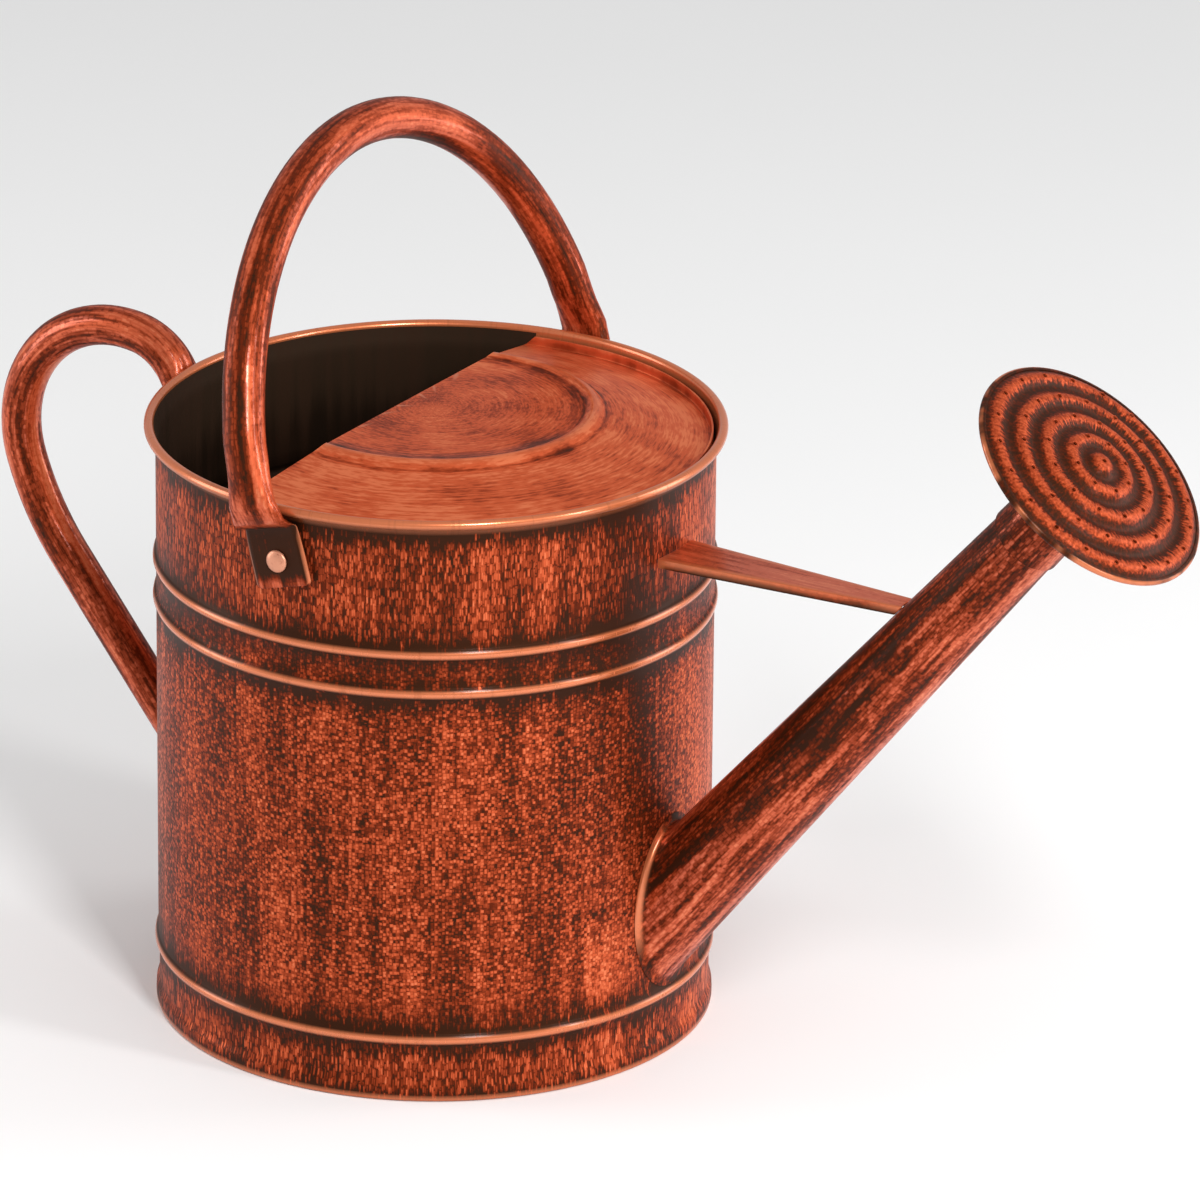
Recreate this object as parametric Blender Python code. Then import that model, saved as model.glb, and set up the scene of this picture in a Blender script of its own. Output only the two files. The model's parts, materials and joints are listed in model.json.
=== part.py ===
"""A two-gallon sheet-metal watering can: half-covered body, swinging bail, rear handle, braced spout and rose.

Metres, +Z up, spout towards +X. The can stands on Z = 0, and the origin is below the middle of its bounding
box, so the body's own axis stands BODY_X behind it. Every piece hangs on an empty placed on that axis.
"""

import math

import bmesh
import bpy
from mathutils import Matrix, Vector

# Sheet and clearances
SHEET = 0.0007
GAP = 0.0003
TURNED_SIDES = 40

# Body: a rolled sheet cylinder with three beads, a hem at the foot and a curl round a wire at the mouth
BODY_RADIUS = 0.105
FOOT_RADIUS = 0.1059
HEM_WIDTH = 0.0026
WAIST_DEPTH = 0.0004
BEAD_HEIGHTS = (0.0247, 0.1633, 0.1787)
BEAD_WIDTH = 0.0046
BEAD_DEPTH = 0.0012
RIM_Z = 0.2307
RIM_RADIUS = 0.1075
CURL_RADIUS = 0.00185
CURL_TURN = math.radians(320)
WIRE_RADIUS = 0.00085

# Base plate, recessed inside the foot
BASE_Z = 0.0062
BASE_FLANGE_Z = 0.0010

# Half cover: flange, sloping annulus, raised ring and inner panel
COVER_EDGE_Z = 0.2258
COVER_FLANGE_TOP_Z = 0.2298
COVER_PANEL_Z = 0.2367
COVER_SHOULDER_Z = 0.2352
RING_RADIUS = 0.0597
RING_WIDTH = 0.0076
RING_HEIGHT = 0.0020
CUT_X = -0.013
CUT_LEAN = 1.70

# Tubes of both handles, and the tabs that their ends are flattened to
BAIL_TUBE_RADIUS = 0.008
REAR_TUBE_RADIUS = 0.0077
TUBE_WALL = 0.0009
TUBE_SIDES = 12
TAB_THICKNESS = 0.0022
TAB_WIDTH = 0.0246
SLIT = 0.0004

# Bail: a superellipse arch over two flattened legs, leaning back on its rivets
PIVOT_Z = 0.2105
BAIL_LEAN = math.radians(15.4)
BAIL_HALF_WIDTH = 0.117
BAIL_HEIGHT = 0.1348
ARCH_WIDTH_POWER = 1.95
ARCH_HEIGHT_POWER = 2.17
ARCH_START = 0.046
ARCH_STEPS = 22
TAB_INNER_Y = 0.1061
RIM_CLEAR_Y = 0.1105

# Rivets and their burr washers
SHANK_RADIUS = 0.0022
RIVET_HOLE_RADIUS = 0.0026
RIVET_HEAD_RADIUS = 0.0043
RIVET_HEAD_HEIGHT = 0.0018
CLINCH_RADIUS = 0.0035
WASHER_RADIUS = 0.0055
WASHER_THICKNESS = 0.0008

# Rear handle: straight up from the wall, three bends over, and back under the rim
REAR_LOW_Z = 0.0673
REAR_RISE = math.radians(38.6)
REAR_RUN = 0.0972
REAR_BENDS = ((0.1163, math.radians(20.7)), (0.0467, math.radians(117.9)), (0.0254, math.radians(50)))
REAR_TAB_LENGTH = 0.015
REAR_LOW_FILLET = 0.025
REAR_TOP_FILLET = 0.015
FLATTEN_LENGTH = 0.030

# Spout and rose share one axis
SPOUT_ELEVATION = math.radians(49.9)
ROSE_X = 0.2794
ROSE_Z = 0.2679
SPOUT_RADIUS_AT_ROSE = 0.0122
SPOUT_TAPER = 0.0272
SPOUT_TIP_BACK = 0.012
SPOUT_SIDES = 24
FILLET_TOP_WIDTH = 0.0038
FILLET_FOOT_WIDTH = 0.0017
FILLET_LENGTH = 0.0075
WALL_BORE_RADIUS = 0.0178

# Rose: a ridged cone-shaped face, a cone back and a slip-on neck
ROSE_RADIUS = 0.0488
ROSE_SHEET = 0.0006
ROSE_SIDES = 30
ROSE_RISE = 0.0074
ROSE_SLOPE = 0.150
RIDGE_PITCH = 0.01013
FIRST_RIDGE = 0.0021
RIDGE_DEPTH = 0.0007
ROSE_HOLE_RADIUS = 0.0008
ROSE_HOLES_PER_RING = (1, 8, 12, 16, 20)
NECK_SHEET = 0.0006
NECK_TOP = -0.014
NECK_FOOT = -0.040

# Brace: a tapered channel from the body to the spout
BRACE_Z = 0.2020
BRACE_FOOT_WIDTH = 0.0240
BRACE_TIP_WIDTH = 0.0100
BRACE_FLANGE = 0.0037
BRACE_SHEET = 0.0008

# How far the object reaches in front of and behind the body's axis
FRONT_REACH = ROSE_X + ROSE_RADIUS * math.sin(SPOUT_ELEVATION)
REAR_REACH = 0.19676
BODY_X = -(FRONT_REACH - REAR_REACH) / 2

AXIS = Vector((math.cos(SPOUT_ELEVATION), 0, math.sin(SPOUT_ELEVATION)))
ROSE_CENTRE = Vector((ROSE_X, 0, ROSE_Z))
PALETTE = {
    "copper_paint": ((0.40, 0.105, 0.040), 0.42, 0.75),
    "dark_inside": ((0.030, 0.014, 0.010), 0.60, 0.30),
    "rivet_metal": ((0.62, 0.30, 0.19), 0.38, 0.90),
    "steel_wire": ((0.35, 0.34, 0.33), 0.45, 0.90),
}


def clear_scene():
    for old in list(bpy.data.objects):
        bpy.data.objects.remove(old, do_unlink=True)


def paint(name):
    """One Principled material per finish, made the first time it is asked for."""
    if name in bpy.data.materials:
        return bpy.data.materials[name]
    colour, roughness, metallic = PALETTE[name]
    material = bpy.data.materials.new(name)
    material.use_nodes = True
    shader = material.node_tree.nodes["Principled BSDF"]
    shader.inputs["Base Color"].default_value = (*colour, 1)
    shader.inputs["Roughness"].default_value = roughness
    shader.inputs["Metallic"].default_value = metallic
    return material


def finish_object(name, bm, material, parent):
    """Turns a bmesh into a smooth-shaded object that hangs on the given empty."""
    bmesh.ops.remove_doubles(bm, verts=bm.verts, dist=1e-7)
    bmesh.ops.recalc_face_normals(bm, faces=bm.faces)
    mesh = bpy.data.meshes.new(name)
    bm.to_mesh(mesh)
    bm.free()
    mesh.shade_smooth()
    mesh.set_sharp_from_angle(angle=math.radians(35))
    mesh.materials.append(paint(material))
    piece = bpy.data.objects.new(name, mesh)
    bpy.context.scene.collection.objects.link(piece)
    piece.parent = parent
    return piece


# Outlines -----------------------------------------------------------------------------------------------------


def arc(centre, radius, start, turn, steps):
    """Points of an arc in the plane of a profile, from an angle through a signed turn."""
    angles = (start + turn * step / steps for step in range(steps + 1))
    return [Vector((centre[0] + radius * math.cos(a), centre[1] + radius * math.sin(a))) for a in angles]


def sheet_outline(path, thickness):
    """The closed outline of a sheet whose middle runs along the path."""
    points = [Vector(point) for point in path]
    left, right = [], []
    for index, point in enumerate(points):
        before = points[max(index - 1, 0)]
        after = points[min(index + 1, len(points) - 1)]
        back = (point - before).normalized() if index else (after - point).normalized()
        ahead = (after - point).normalized() if index < len(points) - 1 else back
        along = (back + ahead).normalized()
        stretch = 1 / max(along.dot(ahead), 0.5)
        side = Vector((-along.y, along.x)) * thickness / 2 * stretch
        left.append(point + side)
        right.append(point - side)
    return left + right[::-1]


def turned(outline, sides):
    """A closed outline of (radius, height) spun round Z. Points on the axis become one."""
    bm = bmesh.new()
    verts = [bm.verts.new((max(radius, 0), 0, height)) for radius, height in outline]
    edges = [bm.edges.new((verts[i], verts[(i + 1) % len(verts)])) for i in range(len(verts))]
    spin = {"axis": (0, 0, 1), "cent": (0, 0, 0), "steps": sides, "angle": 2 * math.pi}
    bmesh.ops.spin(bm, geom=verts + edges, use_merge=True, **spin)
    bmesh.ops.remove_doubles(bm, verts=bm.verts, dist=1e-6)
    flat = [edge for edge in bm.edges if not edge.link_faces]
    bmesh.ops.delete(bm, geom=flat, context="EDGES")
    return bm


def ring_surface(bm, rings):
    """Faces between each ring of points and the next, and from the last back to the first."""
    loops = [[bm.verts.new(point) for point in ring] for ring in rings]
    for ring, following in zip(loops, loops[1:] + loops[:1]):
        count = len(ring)
        for i in range(count):
            bm.faces.new((ring[i], ring[(i + 1) % count], following[(i + 1) % count], following[i]))


def smooth_step(value):
    value = min(max(value, 0), 1)
    return value * value * (3 - 2 * value)


# Booleans -----------------------------------------------------------------------------------------------------


def cutter(name, bm, parent):
    bmesh.ops.recalc_face_normals(bm, faces=bm.faces)
    mesh = bpy.data.meshes.new(name)
    bm.to_mesh(mesh)
    bm.free()
    tool = bpy.data.objects.new(name, mesh)
    bpy.context.scene.collection.objects.link(tool)
    tool.parent = parent
    tool.hide_render = True
    tool.display_type = "WIRE"
    return tool


def rod_cutter(name, parent, start, end, radius, sides=16):
    """A solid rod between two points."""
    start, end = Vector(start), Vector(end)
    bm = bmesh.new()
    turn = (end - start).to_track_quat("Z", "Y").to_matrix().to_4x4()
    place = Matrix.Translation((start + end) / 2) @ turn
    size = {"segments": sides, "radius1": radius, "radius2": radius, "depth": (end - start).length}
    bmesh.ops.create_cone(bm, cap_ends=True, matrix=place, **size)
    return cutter(name, bm, parent)


def cut(piece, tool):
    modifier = piece.modifiers.new(tool.name, "BOOLEAN")
    modifier.operation = "DIFFERENCE"
    modifier.solver = "EXACT"
    modifier.object = tool


# Body ---------------------------------------------------------------------------------------------------------


def bead(centre_z, wall_radius):
    """A half-round bead pressed outwards in the wall, as points of the sheet's middle."""
    half = BEAD_WIDTH / 2
    crest = wall_radius + BEAD_DEPTH
    flat = half * 0.4
    return [
        (wall_radius, centre_z - half),
        (crest, centre_z - flat),
        (crest, centre_z + flat),
        (wall_radius, centre_z + half),
    ]


def body_path():
    """The sheet's middle from the hem's inner edge, up the wall and round the curl."""
    wall = BODY_RADIUS - SHEET / 2
    foot = FOOT_RADIUS - SHEET / 2
    hem_z = SHEET / 2
    path = [(foot - HEM_WIDTH, hem_z), (foot - 0.0003, hem_z), (foot, hem_z + 0.0004), (foot, 0.0040)]
    path += [(wall - WAIST_DEPTH, 0.0085), (wall - WAIST_DEPTH, 0.0190)]
    for height in BEAD_HEIGHTS:
        path += bead(height, wall)
    path += [(wall, RIM_Z - 0.0048)]
    curl = CURL_RADIUS - SHEET / 2
    path += [tuple(point) for point in arc((RIM_RADIUS, RIM_Z), curl, math.radians(190), -CURL_TURN, 8)]
    return path


def make_body(parent):
    bm = turned(sheet_outline(body_path(), SHEET), TURNED_SIDES)
    body = finish_object("body_shell", bm, "copper_paint", parent)
    for side in (-1, 1):
        inner = (0, side * (BODY_RADIUS - 0.010), PIVOT_Z)
        outer = (0, side * (BODY_RADIUS + 0.005), PIVOT_Z)
        cut(body, rod_cutter(f"rivet_hole_{side}", parent, inner, outer, RIVET_HOLE_RADIUS))
    reach = (BODY_RADIUS - ROSE_X) / AXIS.x
    middle = ROSE_CENTRE + AXIS * reach
    cut(body, rod_cutter("wall_bore", parent, middle - AXIS * 0.045, middle + AXIS * 0.045, WALL_BORE_RADIUS, 24))


def make_rim_wire(parent):
    section = arc((RIM_RADIUS, RIM_Z), WIRE_RADIUS, 0, 2 * math.pi * 7 / 8, 7)
    finish_object("rim_wire", turned(section, TURNED_SIDES), "steel_wire", parent)


def make_base(parent):
    flange = BODY_RADIUS - SHEET - WAIST_DEPTH - GAP - SHEET / 2
    path = [(flange, BASE_FLANGE_Z), (flange, BASE_Z - 0.0012), (flange - 0.0012, BASE_Z)]
    path += [(0.078, BASE_Z), (0.076, BASE_Z + 0.0012), (0, BASE_Z + 0.0012)]
    finish_object("base_plate", turned(sheet_outline(path, SHEET), TURNED_SIDES), "dark_inside", parent)


def make_cover(parent):
    edge = BODY_RADIUS - SHEET - GAP - SHEET / 2
    inner = RING_RADIUS - RING_WIDTH / 2
    outer = RING_RADIUS + RING_WIDTH / 2
    crest = COVER_PANEL_Z + RING_HEIGHT
    path = [(edge, COVER_FLANGE_TOP_Z), (edge, COVER_EDGE_Z + 0.0008), (edge - 0.0009, COVER_EDGE_Z)]
    path += [(outer, COVER_SHOULDER_Z), (outer - 0.0022, crest), (inner + 0.0018, crest), (inner, COVER_PANEL_Z)]
    path += [(0, COVER_PANEL_Z + 0.0003)]
    cover = finish_object("top_cover", turned(sheet_outline(path, SHEET), TURNED_SIDES), "copper_paint", parent)
    depth, half_width, half_height = 0.2, 0.13, 0.03
    corners = [(-depth, -half_height), (0, -half_height), (0, half_height), (-depth, half_height)]
    bm = bmesh.new()
    for y in (-half_width, half_width):
        ring = [bm.verts.new((CUT_X + x + CUT_LEAN * z, y, COVER_PANEL_Z + z)) for x, z in corners]
        bm.faces.new(ring)
    bm.verts.ensure_lookup_table()
    for i in range(4):
        bm.faces.new((bm.verts[i], bm.verts[(i + 1) % 4], bm.verts[4 + (i + 1) % 4], bm.verts[4 + i]))
    cut(cover, cutter("cover_opening", bm, parent))


# Handles ------------------------------------------------------------------------------------------------------


def flat_oval(half_thickness, half_width, roundness):
    """Points of a section that goes from a flat strip at roundness 0 to a round tube at 1."""
    power = 0.35 + 0.65 * roundness
    section = []
    for i in range(TUBE_SIDES):
        angle = 2 * math.pi * (i + 0.5) / TUBE_SIDES
        c, s = math.cos(angle), math.sin(angle)
        across = half_thickness * math.copysign(abs(c) ** power, c)
        wide = half_width * math.copysign(abs(s) ** (1 - 0.5 * (1 - roundness)), s)
        section.append((across, wide))
    return section


def tube(stations):
    """A hollow tube, open at both ends. A station is (place, across, sideways, half sizes, roundness)."""
    outer, inner = [], []
    for place, across, sideways, half_thickness, half_width, roundness in stations:
        bore_thickness = max(half_thickness - TUBE_WALL, SLIT / 2)
        bore_width = half_width - TUBE_WALL
        for rings, a, b in ((outer, half_thickness, half_width), (inner, bore_thickness, bore_width)):
            rings.append([place + across * u + sideways * v for u, v in flat_oval(a, b, roundness)])
    bm = bmesh.new()
    ring_surface(bm, outer + inner[::-1])
    return bm


def arch_point(height):
    """Half width of the bail's arch at a height above the pivot."""
    share = 1 - (height / BAIL_HEIGHT) ** ARCH_HEIGHT_POWER
    return BAIL_HALF_WIDTH * max(share, 0) ** (1 / ARCH_WIDTH_POWER)


def leg_stations():
    """The leg from the tab's end to the arch: height, inner side, half thickness, half width, roundness."""
    tab = TAB_THICKNESS / 2
    wide = TAB_WIDTH / 2
    round_side = arch_point(0.038) - 0.0077
    return [
        (-0.0100, TAB_INNER_Y, tab, wide * 0.80, 0.0),
        (-0.0075, TAB_INNER_Y, tab, wide, 0.0),
        (0.0040, TAB_INNER_Y, tab, wide, 0.0),
        (0.0108, TAB_INNER_Y, tab, wide * 0.95, 0.0),
        (0.0160, RIM_CLEAR_Y, 0.0018, wide * 0.88, 0.2),
        (0.0235, RIM_CLEAR_Y, 0.0037, wide * 0.79, 0.6),
        (0.0300, RIM_CLEAR_Y - 0.0022, 0.0060, wide * 0.71, 0.9),
        (0.0380, round_side, 0.0077, BAIL_TUBE_RADIUS * 1.02, 1.0),
    ]


def make_bail(parent):
    stations = []
    sideways = Vector((1, 0, 0))
    for height, inner_side, thick, wide, roundness in leg_stations():
        place = Vector((0, -inner_side - thick, height))
        stations.append((place, Vector((0, -1, 0)), sideways, thick, wide, roundness))
    start = math.asin((ARCH_START / BAIL_HEIGHT) ** (ARCH_HEIGHT_POWER / 2))
    for step in range(ARCH_STEPS + 1):
        angle = start + (math.pi - 2 * start) * step / ARCH_STEPS
        y = -BAIL_HALF_WIDTH * math.copysign(abs(math.cos(angle)) ** (2 / ARCH_WIDTH_POWER), math.cos(angle))
        place = Vector((0, y, BAIL_HEIGHT * math.sin(angle) ** (2 / ARCH_HEIGHT_POWER)))
        slope_y = abs(y / BAIL_HALF_WIDTH) ** (ARCH_WIDTH_POWER - 1) / BAIL_HALF_WIDTH * ARCH_WIDTH_POWER
        slope_z = (place.z / BAIL_HEIGHT) ** (ARCH_HEIGHT_POWER - 1) / BAIL_HEIGHT * ARCH_HEIGHT_POWER
        across = Vector((0, math.copysign(slope_y, y), slope_z)).normalized()
        stations.append((place, across, sideways, BAIL_TUBE_RADIUS, BAIL_TUBE_RADIUS, 1.0))
    for height, inner_side, thick, wide, roundness in reversed(leg_stations()):
        place = Vector((0, inner_side + thick, height))
        stations.append((place, Vector((0, 1, 0)), sideways, thick, wide, roundness))
    bail = finish_object("bail_handle", tube(stations), "copper_paint", parent)
    bail.location = (0, 0, PIVOT_Z)
    bail.rotation_euler = (0, -BAIL_LEAN, 0)
    ends = ((0, -0.13, PIVOT_Z), (0, 0.13, PIVOT_Z))
    cut(bail, rod_cutter("bail_hole", parent, *ends, RIVET_HOLE_RADIUS))


def turned_along_y(outline, side, sides=16):
    """An outline of (radius, distance from the axis) turned round the pivot line, on one side of the can."""
    bm = turned(outline, sides)
    turn = Matrix.Rotation(math.radians(-90 * side), 4, "X")
    bmesh.ops.transform(bm, matrix=turn, verts=bm.verts)
    return bm


def make_rivets(parent):
    """Each rivet runs from a burr washer inside the wall to a domed head outside the bail's tab."""
    head_y = TAB_INNER_Y + TAB_THICKNESS + GAP
    wall_inside = (BODY_RADIUS - SHEET) * math.cos(math.pi / TURNED_SIDES)
    washer_top = wall_inside - GAP
    washer_foot = washer_top - WASHER_THICKNESS
    clinch_top = washer_foot - GAP
    dome = [(RIVET_HEAD_RADIUS * math.cos(a), head_y + 0.0004 + (RIVET_HEAD_HEIGHT - 0.0004) * math.sin(a))
            for a in (math.radians(angle) for angle in (0, 25, 50, 72, 90))]
    rivet = [(0, clinch_top - 0.0014), (CLINCH_RADIUS * 0.8, clinch_top - 0.0014), (CLINCH_RADIUS, clinch_top - 0.0007)]
    rivet += [(CLINCH_RADIUS, clinch_top), (SHANK_RADIUS, clinch_top), (SHANK_RADIUS, head_y)]
    rivet += [(RIVET_HEAD_RADIUS, head_y), *dome]
    hole = RIVET_HOLE_RADIUS
    washer = [(hole, washer_foot), (WASHER_RADIUS, washer_foot), (WASHER_RADIUS, washer_top), (hole, washer_top)]
    for side, word in ((-1, "right"), (1, "left")):
        for name, outline in ((f"bail_rivet_{word}", rivet), (f"bail_washer_{word}", washer)):
            piece = finish_object(name, turned_along_y(outline, side), "rivet_metal", parent)
            piece.location = (0, 0, PIVOT_Z)


def rear_path():
    """Middle of the rear handle in the XZ plane, as (x, z, heading), from the lower tab's end to the upper's."""
    wall_x = -(BODY_RADIUS + GAP + TAB_THICKNESS / 2)
    low_tangent = REAR_LOW_FILLET * math.tan(REAR_RISE / 2)
    place = Vector((wall_x, REAR_LOW_Z - low_tangent - REAR_TAB_LENGTH))
    heading = math.radians(90)
    points = []

    def run(length, steps):
        nonlocal place
        start = place.copy()
        along = Vector((math.cos(heading), math.sin(heading)))
        for step in range(steps):
            points.append((*(start + along * length * step / steps), heading))
        place = start + along * length

    def bend(radius, turn, steps):
        """A positive turn is clockwise."""
        nonlocal place, heading
        side = math.copysign(1, turn)
        centre = place + Vector((math.sin(heading), -math.cos(heading))) * radius * side
        start = heading
        for step in range(steps + 1):
            heading = start - turn * step / steps
            place = centre - Vector((math.sin(heading), -math.cos(heading))) * radius * side
            if step < steps:
                points.append((*place, heading))

    run(REAR_TAB_LENGTH, 2)
    bend(REAR_LOW_FILLET, -REAR_RISE, 3)
    run(REAR_RUN - low_tangent, 5)
    for (radius, turn), steps in zip(REAR_BENDS, (2, 10, 4)):
        bend(radius, turn, steps)
    turn_down = heading - math.radians(-90)
    tangent = REAR_TOP_FILLET * math.tan(turn_down / 2)
    run((wall_x - place.x) / math.cos(heading) - tangent, 2)
    bend(REAR_TOP_FILLET, turn_down, 3)
    run(REAR_TAB_LENGTH, 2)
    points.append((*place, heading))
    return points


def make_rear_handle(parent):
    path = rear_path()
    travelled = [0.0]
    for (x0, z0, _), (x1, z1, _) in zip(path, path[1:]):
        travelled.append(travelled[-1] + math.hypot(x1 - x0, z1 - z0))
    stations = []
    for (x, z, heading), along in zip(path, travelled):
        from_end = min(along, travelled[-1] - along)
        roundness = smooth_step((from_end - REAR_TAB_LENGTH) / FLATTEN_LENGTH)
        thick = TAB_THICKNESS / 2 + (REAR_TUBE_RADIUS - TAB_THICKNESS / 2) * roundness
        wide = TAB_WIDTH / 2 + (REAR_TUBE_RADIUS - TAB_WIDTH / 2) * roundness
        if from_end < 1e-6:
            wide *= 0.8
        across = Vector((-math.sin(heading), 0, math.cos(heading)))
        stations.append((Vector((x, 0, z)), across, Vector((0, 1, 0)), thick, wide, roundness))
    finish_object("rear_handle", tube(stations), "copper_paint", parent)


# Spout, brace and rose ----------------------------------------------------------------------------------------


def spout_radius(back):
    """Outer radius of the spout at a distance behind the rose's rim plane."""
    return SPOUT_RADIUS_AT_ROSE + SPOUT_TAPER * back


def spout_point(back, angle, extra):
    up = Vector((-AXIS.z, 0, AXIS.x))
    out = up * math.cos(angle) + Vector((0, 1, 0)) * math.sin(angle)
    return ROSE_CENTRE - AXIS * back + out * (spout_radius(back) + extra)


def back_to_wall(angle, extra, wall_radius):
    """How far behind the rose a line along the spout's side meets the round wall."""
    near, far = 0.15, 0.32
    for _ in range(40):
        middle = (near + far) / 2
        point = spout_point(middle, angle, extra)
        if math.hypot(point.x, point.y) > wall_radius:
            near = middle
        else:
            far = middle
    return far


def fillet_width(angle):
    """The fillet is wide above the spout and narrow below it, where it stays clear of the lowest bead."""
    share = (1 + math.cos(angle)) / 2
    return FILLET_FOOT_WIDTH + (FILLET_TOP_WIDTH - FILLET_FOOT_WIDTH) * share


def make_spout(parent):
    """A rolled cone with a soldered fillet that hugs the wall."""
    wall = BODY_RADIUS + GAP
    angles = [2 * math.pi * i / SPOUT_SIDES for i in range(SPOUT_SIDES)]
    tip = [spout_point(SPOUT_TIP_BACK, a, 0) for a in angles]
    neck = [spout_point(back_to_wall(a, 0, wall) - FILLET_LENGTH, a, 0) for a in angles]
    waist, edge = [], []
    for a in angles:
        wide = fillet_width(a)
        waist.append(spout_point(back_to_wall(a, wide * 0.3, wall) - FILLET_LENGTH * 0.35, a, wide * 0.28))
        edge.append(spout_point(back_to_wall(a, wide, wall), a, wide))
    mouth = [spout_point(back_to_wall(a, -SHEET, wall), a, -SHEET) for a in angles]
    bore = [spout_point(SPOUT_TIP_BACK, a, -SHEET) for a in angles]
    bm = bmesh.new()
    ring_surface(bm, [tip, neck, waist, edge, mouth, bore])
    finish_object("spout_tube", bm, "copper_paint", parent)


def spout_front(y, z):
    """Where a line along X at this place meets the spout's upper side, less a gap."""
    near, far = BODY_RADIUS + 0.02, ROSE_X
    for _ in range(40):
        middle = (near + far) / 2
        offset = Vector((middle, y, z)) - ROSE_CENTRE
        back = -offset.dot(AXIS)
        distance = (offset + AXIS * back).length
        if distance > spout_radius(back) + GAP:
            near = middle
        else:
            far = middle
    return near


def make_brace(parent):
    """A channel with its edges turned down, cut to the round wall and to the spout."""
    strips = 4

    def section(width, spot_x):
        """Rows of points across the plate's top and underside, each ending in a flange's lower edge."""
        half, low = width / 2, BRACE_Z - BRACE_FLANGE
        rows = []
        for inset in (0, BRACE_SHEET):
            edge = half - inset
            flats = [(-edge + 2 * edge * i / strips, BRACE_Z - inset) for i in range(strips + 1)]
            rows.append([(-edge, low), *flats, (edge, low)])
        return [[bm.verts.new((spot_x(y, z), y, z)) for y, z in row] for row in rows]

    bm = bmesh.new()
    wall = BODY_RADIUS + GAP
    foot = section(BRACE_FOOT_WIDTH, lambda y, z: math.sqrt(wall**2 - y**2))
    tip = section(BRACE_TIP_WIDTH, spout_front)
    for i in range(strips + 2):
        for row in (0, 1):
            bm.faces.new((foot[row][i], foot[row][i + 1], tip[row][i + 1], tip[row][i]))
        for end in (foot, tip):
            bm.faces.new((end[0][i], end[0][i + 1], end[1][i + 1], end[1][i]))
    for i in (0, -1):
        bm.faces.new((foot[0][i], foot[1][i], tip[1][i], tip[0][i]))
    finish_object("spout_brace", bm, "copper_paint", parent)


def rose_height(radius):
    """Height of the ridged face above the rim plane."""
    wave = math.cos(2 * math.pi * (radius - FIRST_RIDGE) / RIDGE_PITCH)
    return ROSE_RISE - ROSE_SLOPE * radius + RIDGE_DEPTH * wave


def face_path():
    """The face sheet's middle: from the centre over the ridges, then wrapped round the back's edge."""
    radii = [0.0] + [FIRST_RIDGE + RIDGE_PITCH / 2 * step for step in range(9)]
    path = [(radius, rose_height(max(radius, FIRST_RIDGE))) for radius in radii]
    lip = ROSE_RADIUS - ROSE_SHEET / 2
    path += [(lip - 0.0022, 0.0000), (lip - 0.0006, -0.0002), (lip, -0.0010), (lip - 0.0006, -0.0021)]
    return path + [(lip - 0.0022, -0.0025)]


def back_path():
    """The back sheet's middle: flange, shallow cone and the collar round the neck."""
    collar = spout_radius(0.0225) + GAP + NECK_SHEET + GAP + ROSE_SHEET / 2
    path = [(ROSE_RADIUS - 0.0014, -0.0011), (ROSE_RADIUS - 0.0040, -0.0013)]
    return path + [(collar + 0.0012, -0.0188), (collar, -0.0202), (collar, -0.0250)]


def make_rose(parent):
    """The rose's pieces are turned about their own axis, then leaned onto the spout's."""
    lean = Matrix.Translation(ROSE_CENTRE) @ Matrix.Rotation(math.pi / 2 - SPOUT_ELEVATION, 4, "Y")
    hub = bpy.data.objects.new("rose_axis", None)
    bpy.context.scene.collection.objects.link(hub)
    hub.parent = parent
    hub.matrix_local = lean
    face = finish_object("rose_face", turned(sheet_outline(face_path(), ROSE_SHEET), ROSE_SIDES), "copper_paint", hub)
    bm = bmesh.new()
    for ring, count in enumerate(ROSE_HOLES_PER_RING):
        radius = FIRST_RIDGE + RIDGE_PITCH * ring if ring else 0
        for i in range(count):
            place = Matrix.Rotation(2 * math.pi * (i + 0.5) / count, 4, "Z") @ Matrix.Translation((radius, 0, 0.003))
            size = {"segments": 6, "radius1": ROSE_HOLE_RADIUS, "radius2": ROSE_HOLE_RADIUS, "depth": 0.02}
            bmesh.ops.create_cone(bm, cap_ends=True, matrix=place, **size)
    cut(face, cutter("rose_holes", bm, hub))
    finish_object("rose_back", turned(sheet_outline(back_path(), ROSE_SHEET), ROSE_SIDES), "copper_paint", hub)
    bore_foot = spout_radius(-NECK_FOOT) + GAP
    bore_top = spout_radius(-NECK_TOP) + GAP
    neck = [(bore_foot, NECK_FOOT), (bore_foot + NECK_SHEET, NECK_FOOT)]
    neck += [(bore_top + NECK_SHEET, NECK_TOP), (bore_top, NECK_TOP)]
    finish_object("rose_neck", turned(neck, ROSE_SIDES), "copper_paint", hub)


def main():
    clear_scene()
    axis = bpy.data.objects.new("body_axis", None)
    bpy.context.scene.collection.objects.link(axis)
    axis.location = (BODY_X, 0, 0)
    make_body(axis)
    make_rim_wire(axis)
    make_base(axis)
    make_cover(axis)
    make_bail(axis)
    make_rivets(axis)
    make_rear_handle(axis)
    make_spout(axis)
    make_brace(axis)
    make_rose(axis)


main()
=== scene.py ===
"""Builds a two-gallon sheet-metal watering can with an antique copper finish.

Metres, +Z up, spout towards +X. Each operator makes one piece or a group of like pieces, drawn as a line and
spun, or extruded ring by ring, and gives it to the body it moves with.
"""

import json
import math

import bmesh
import bpy
from bpy.props import FloatProperty, FloatVectorProperty, PointerProperty
from mathutils import Matrix, Vector


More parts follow.
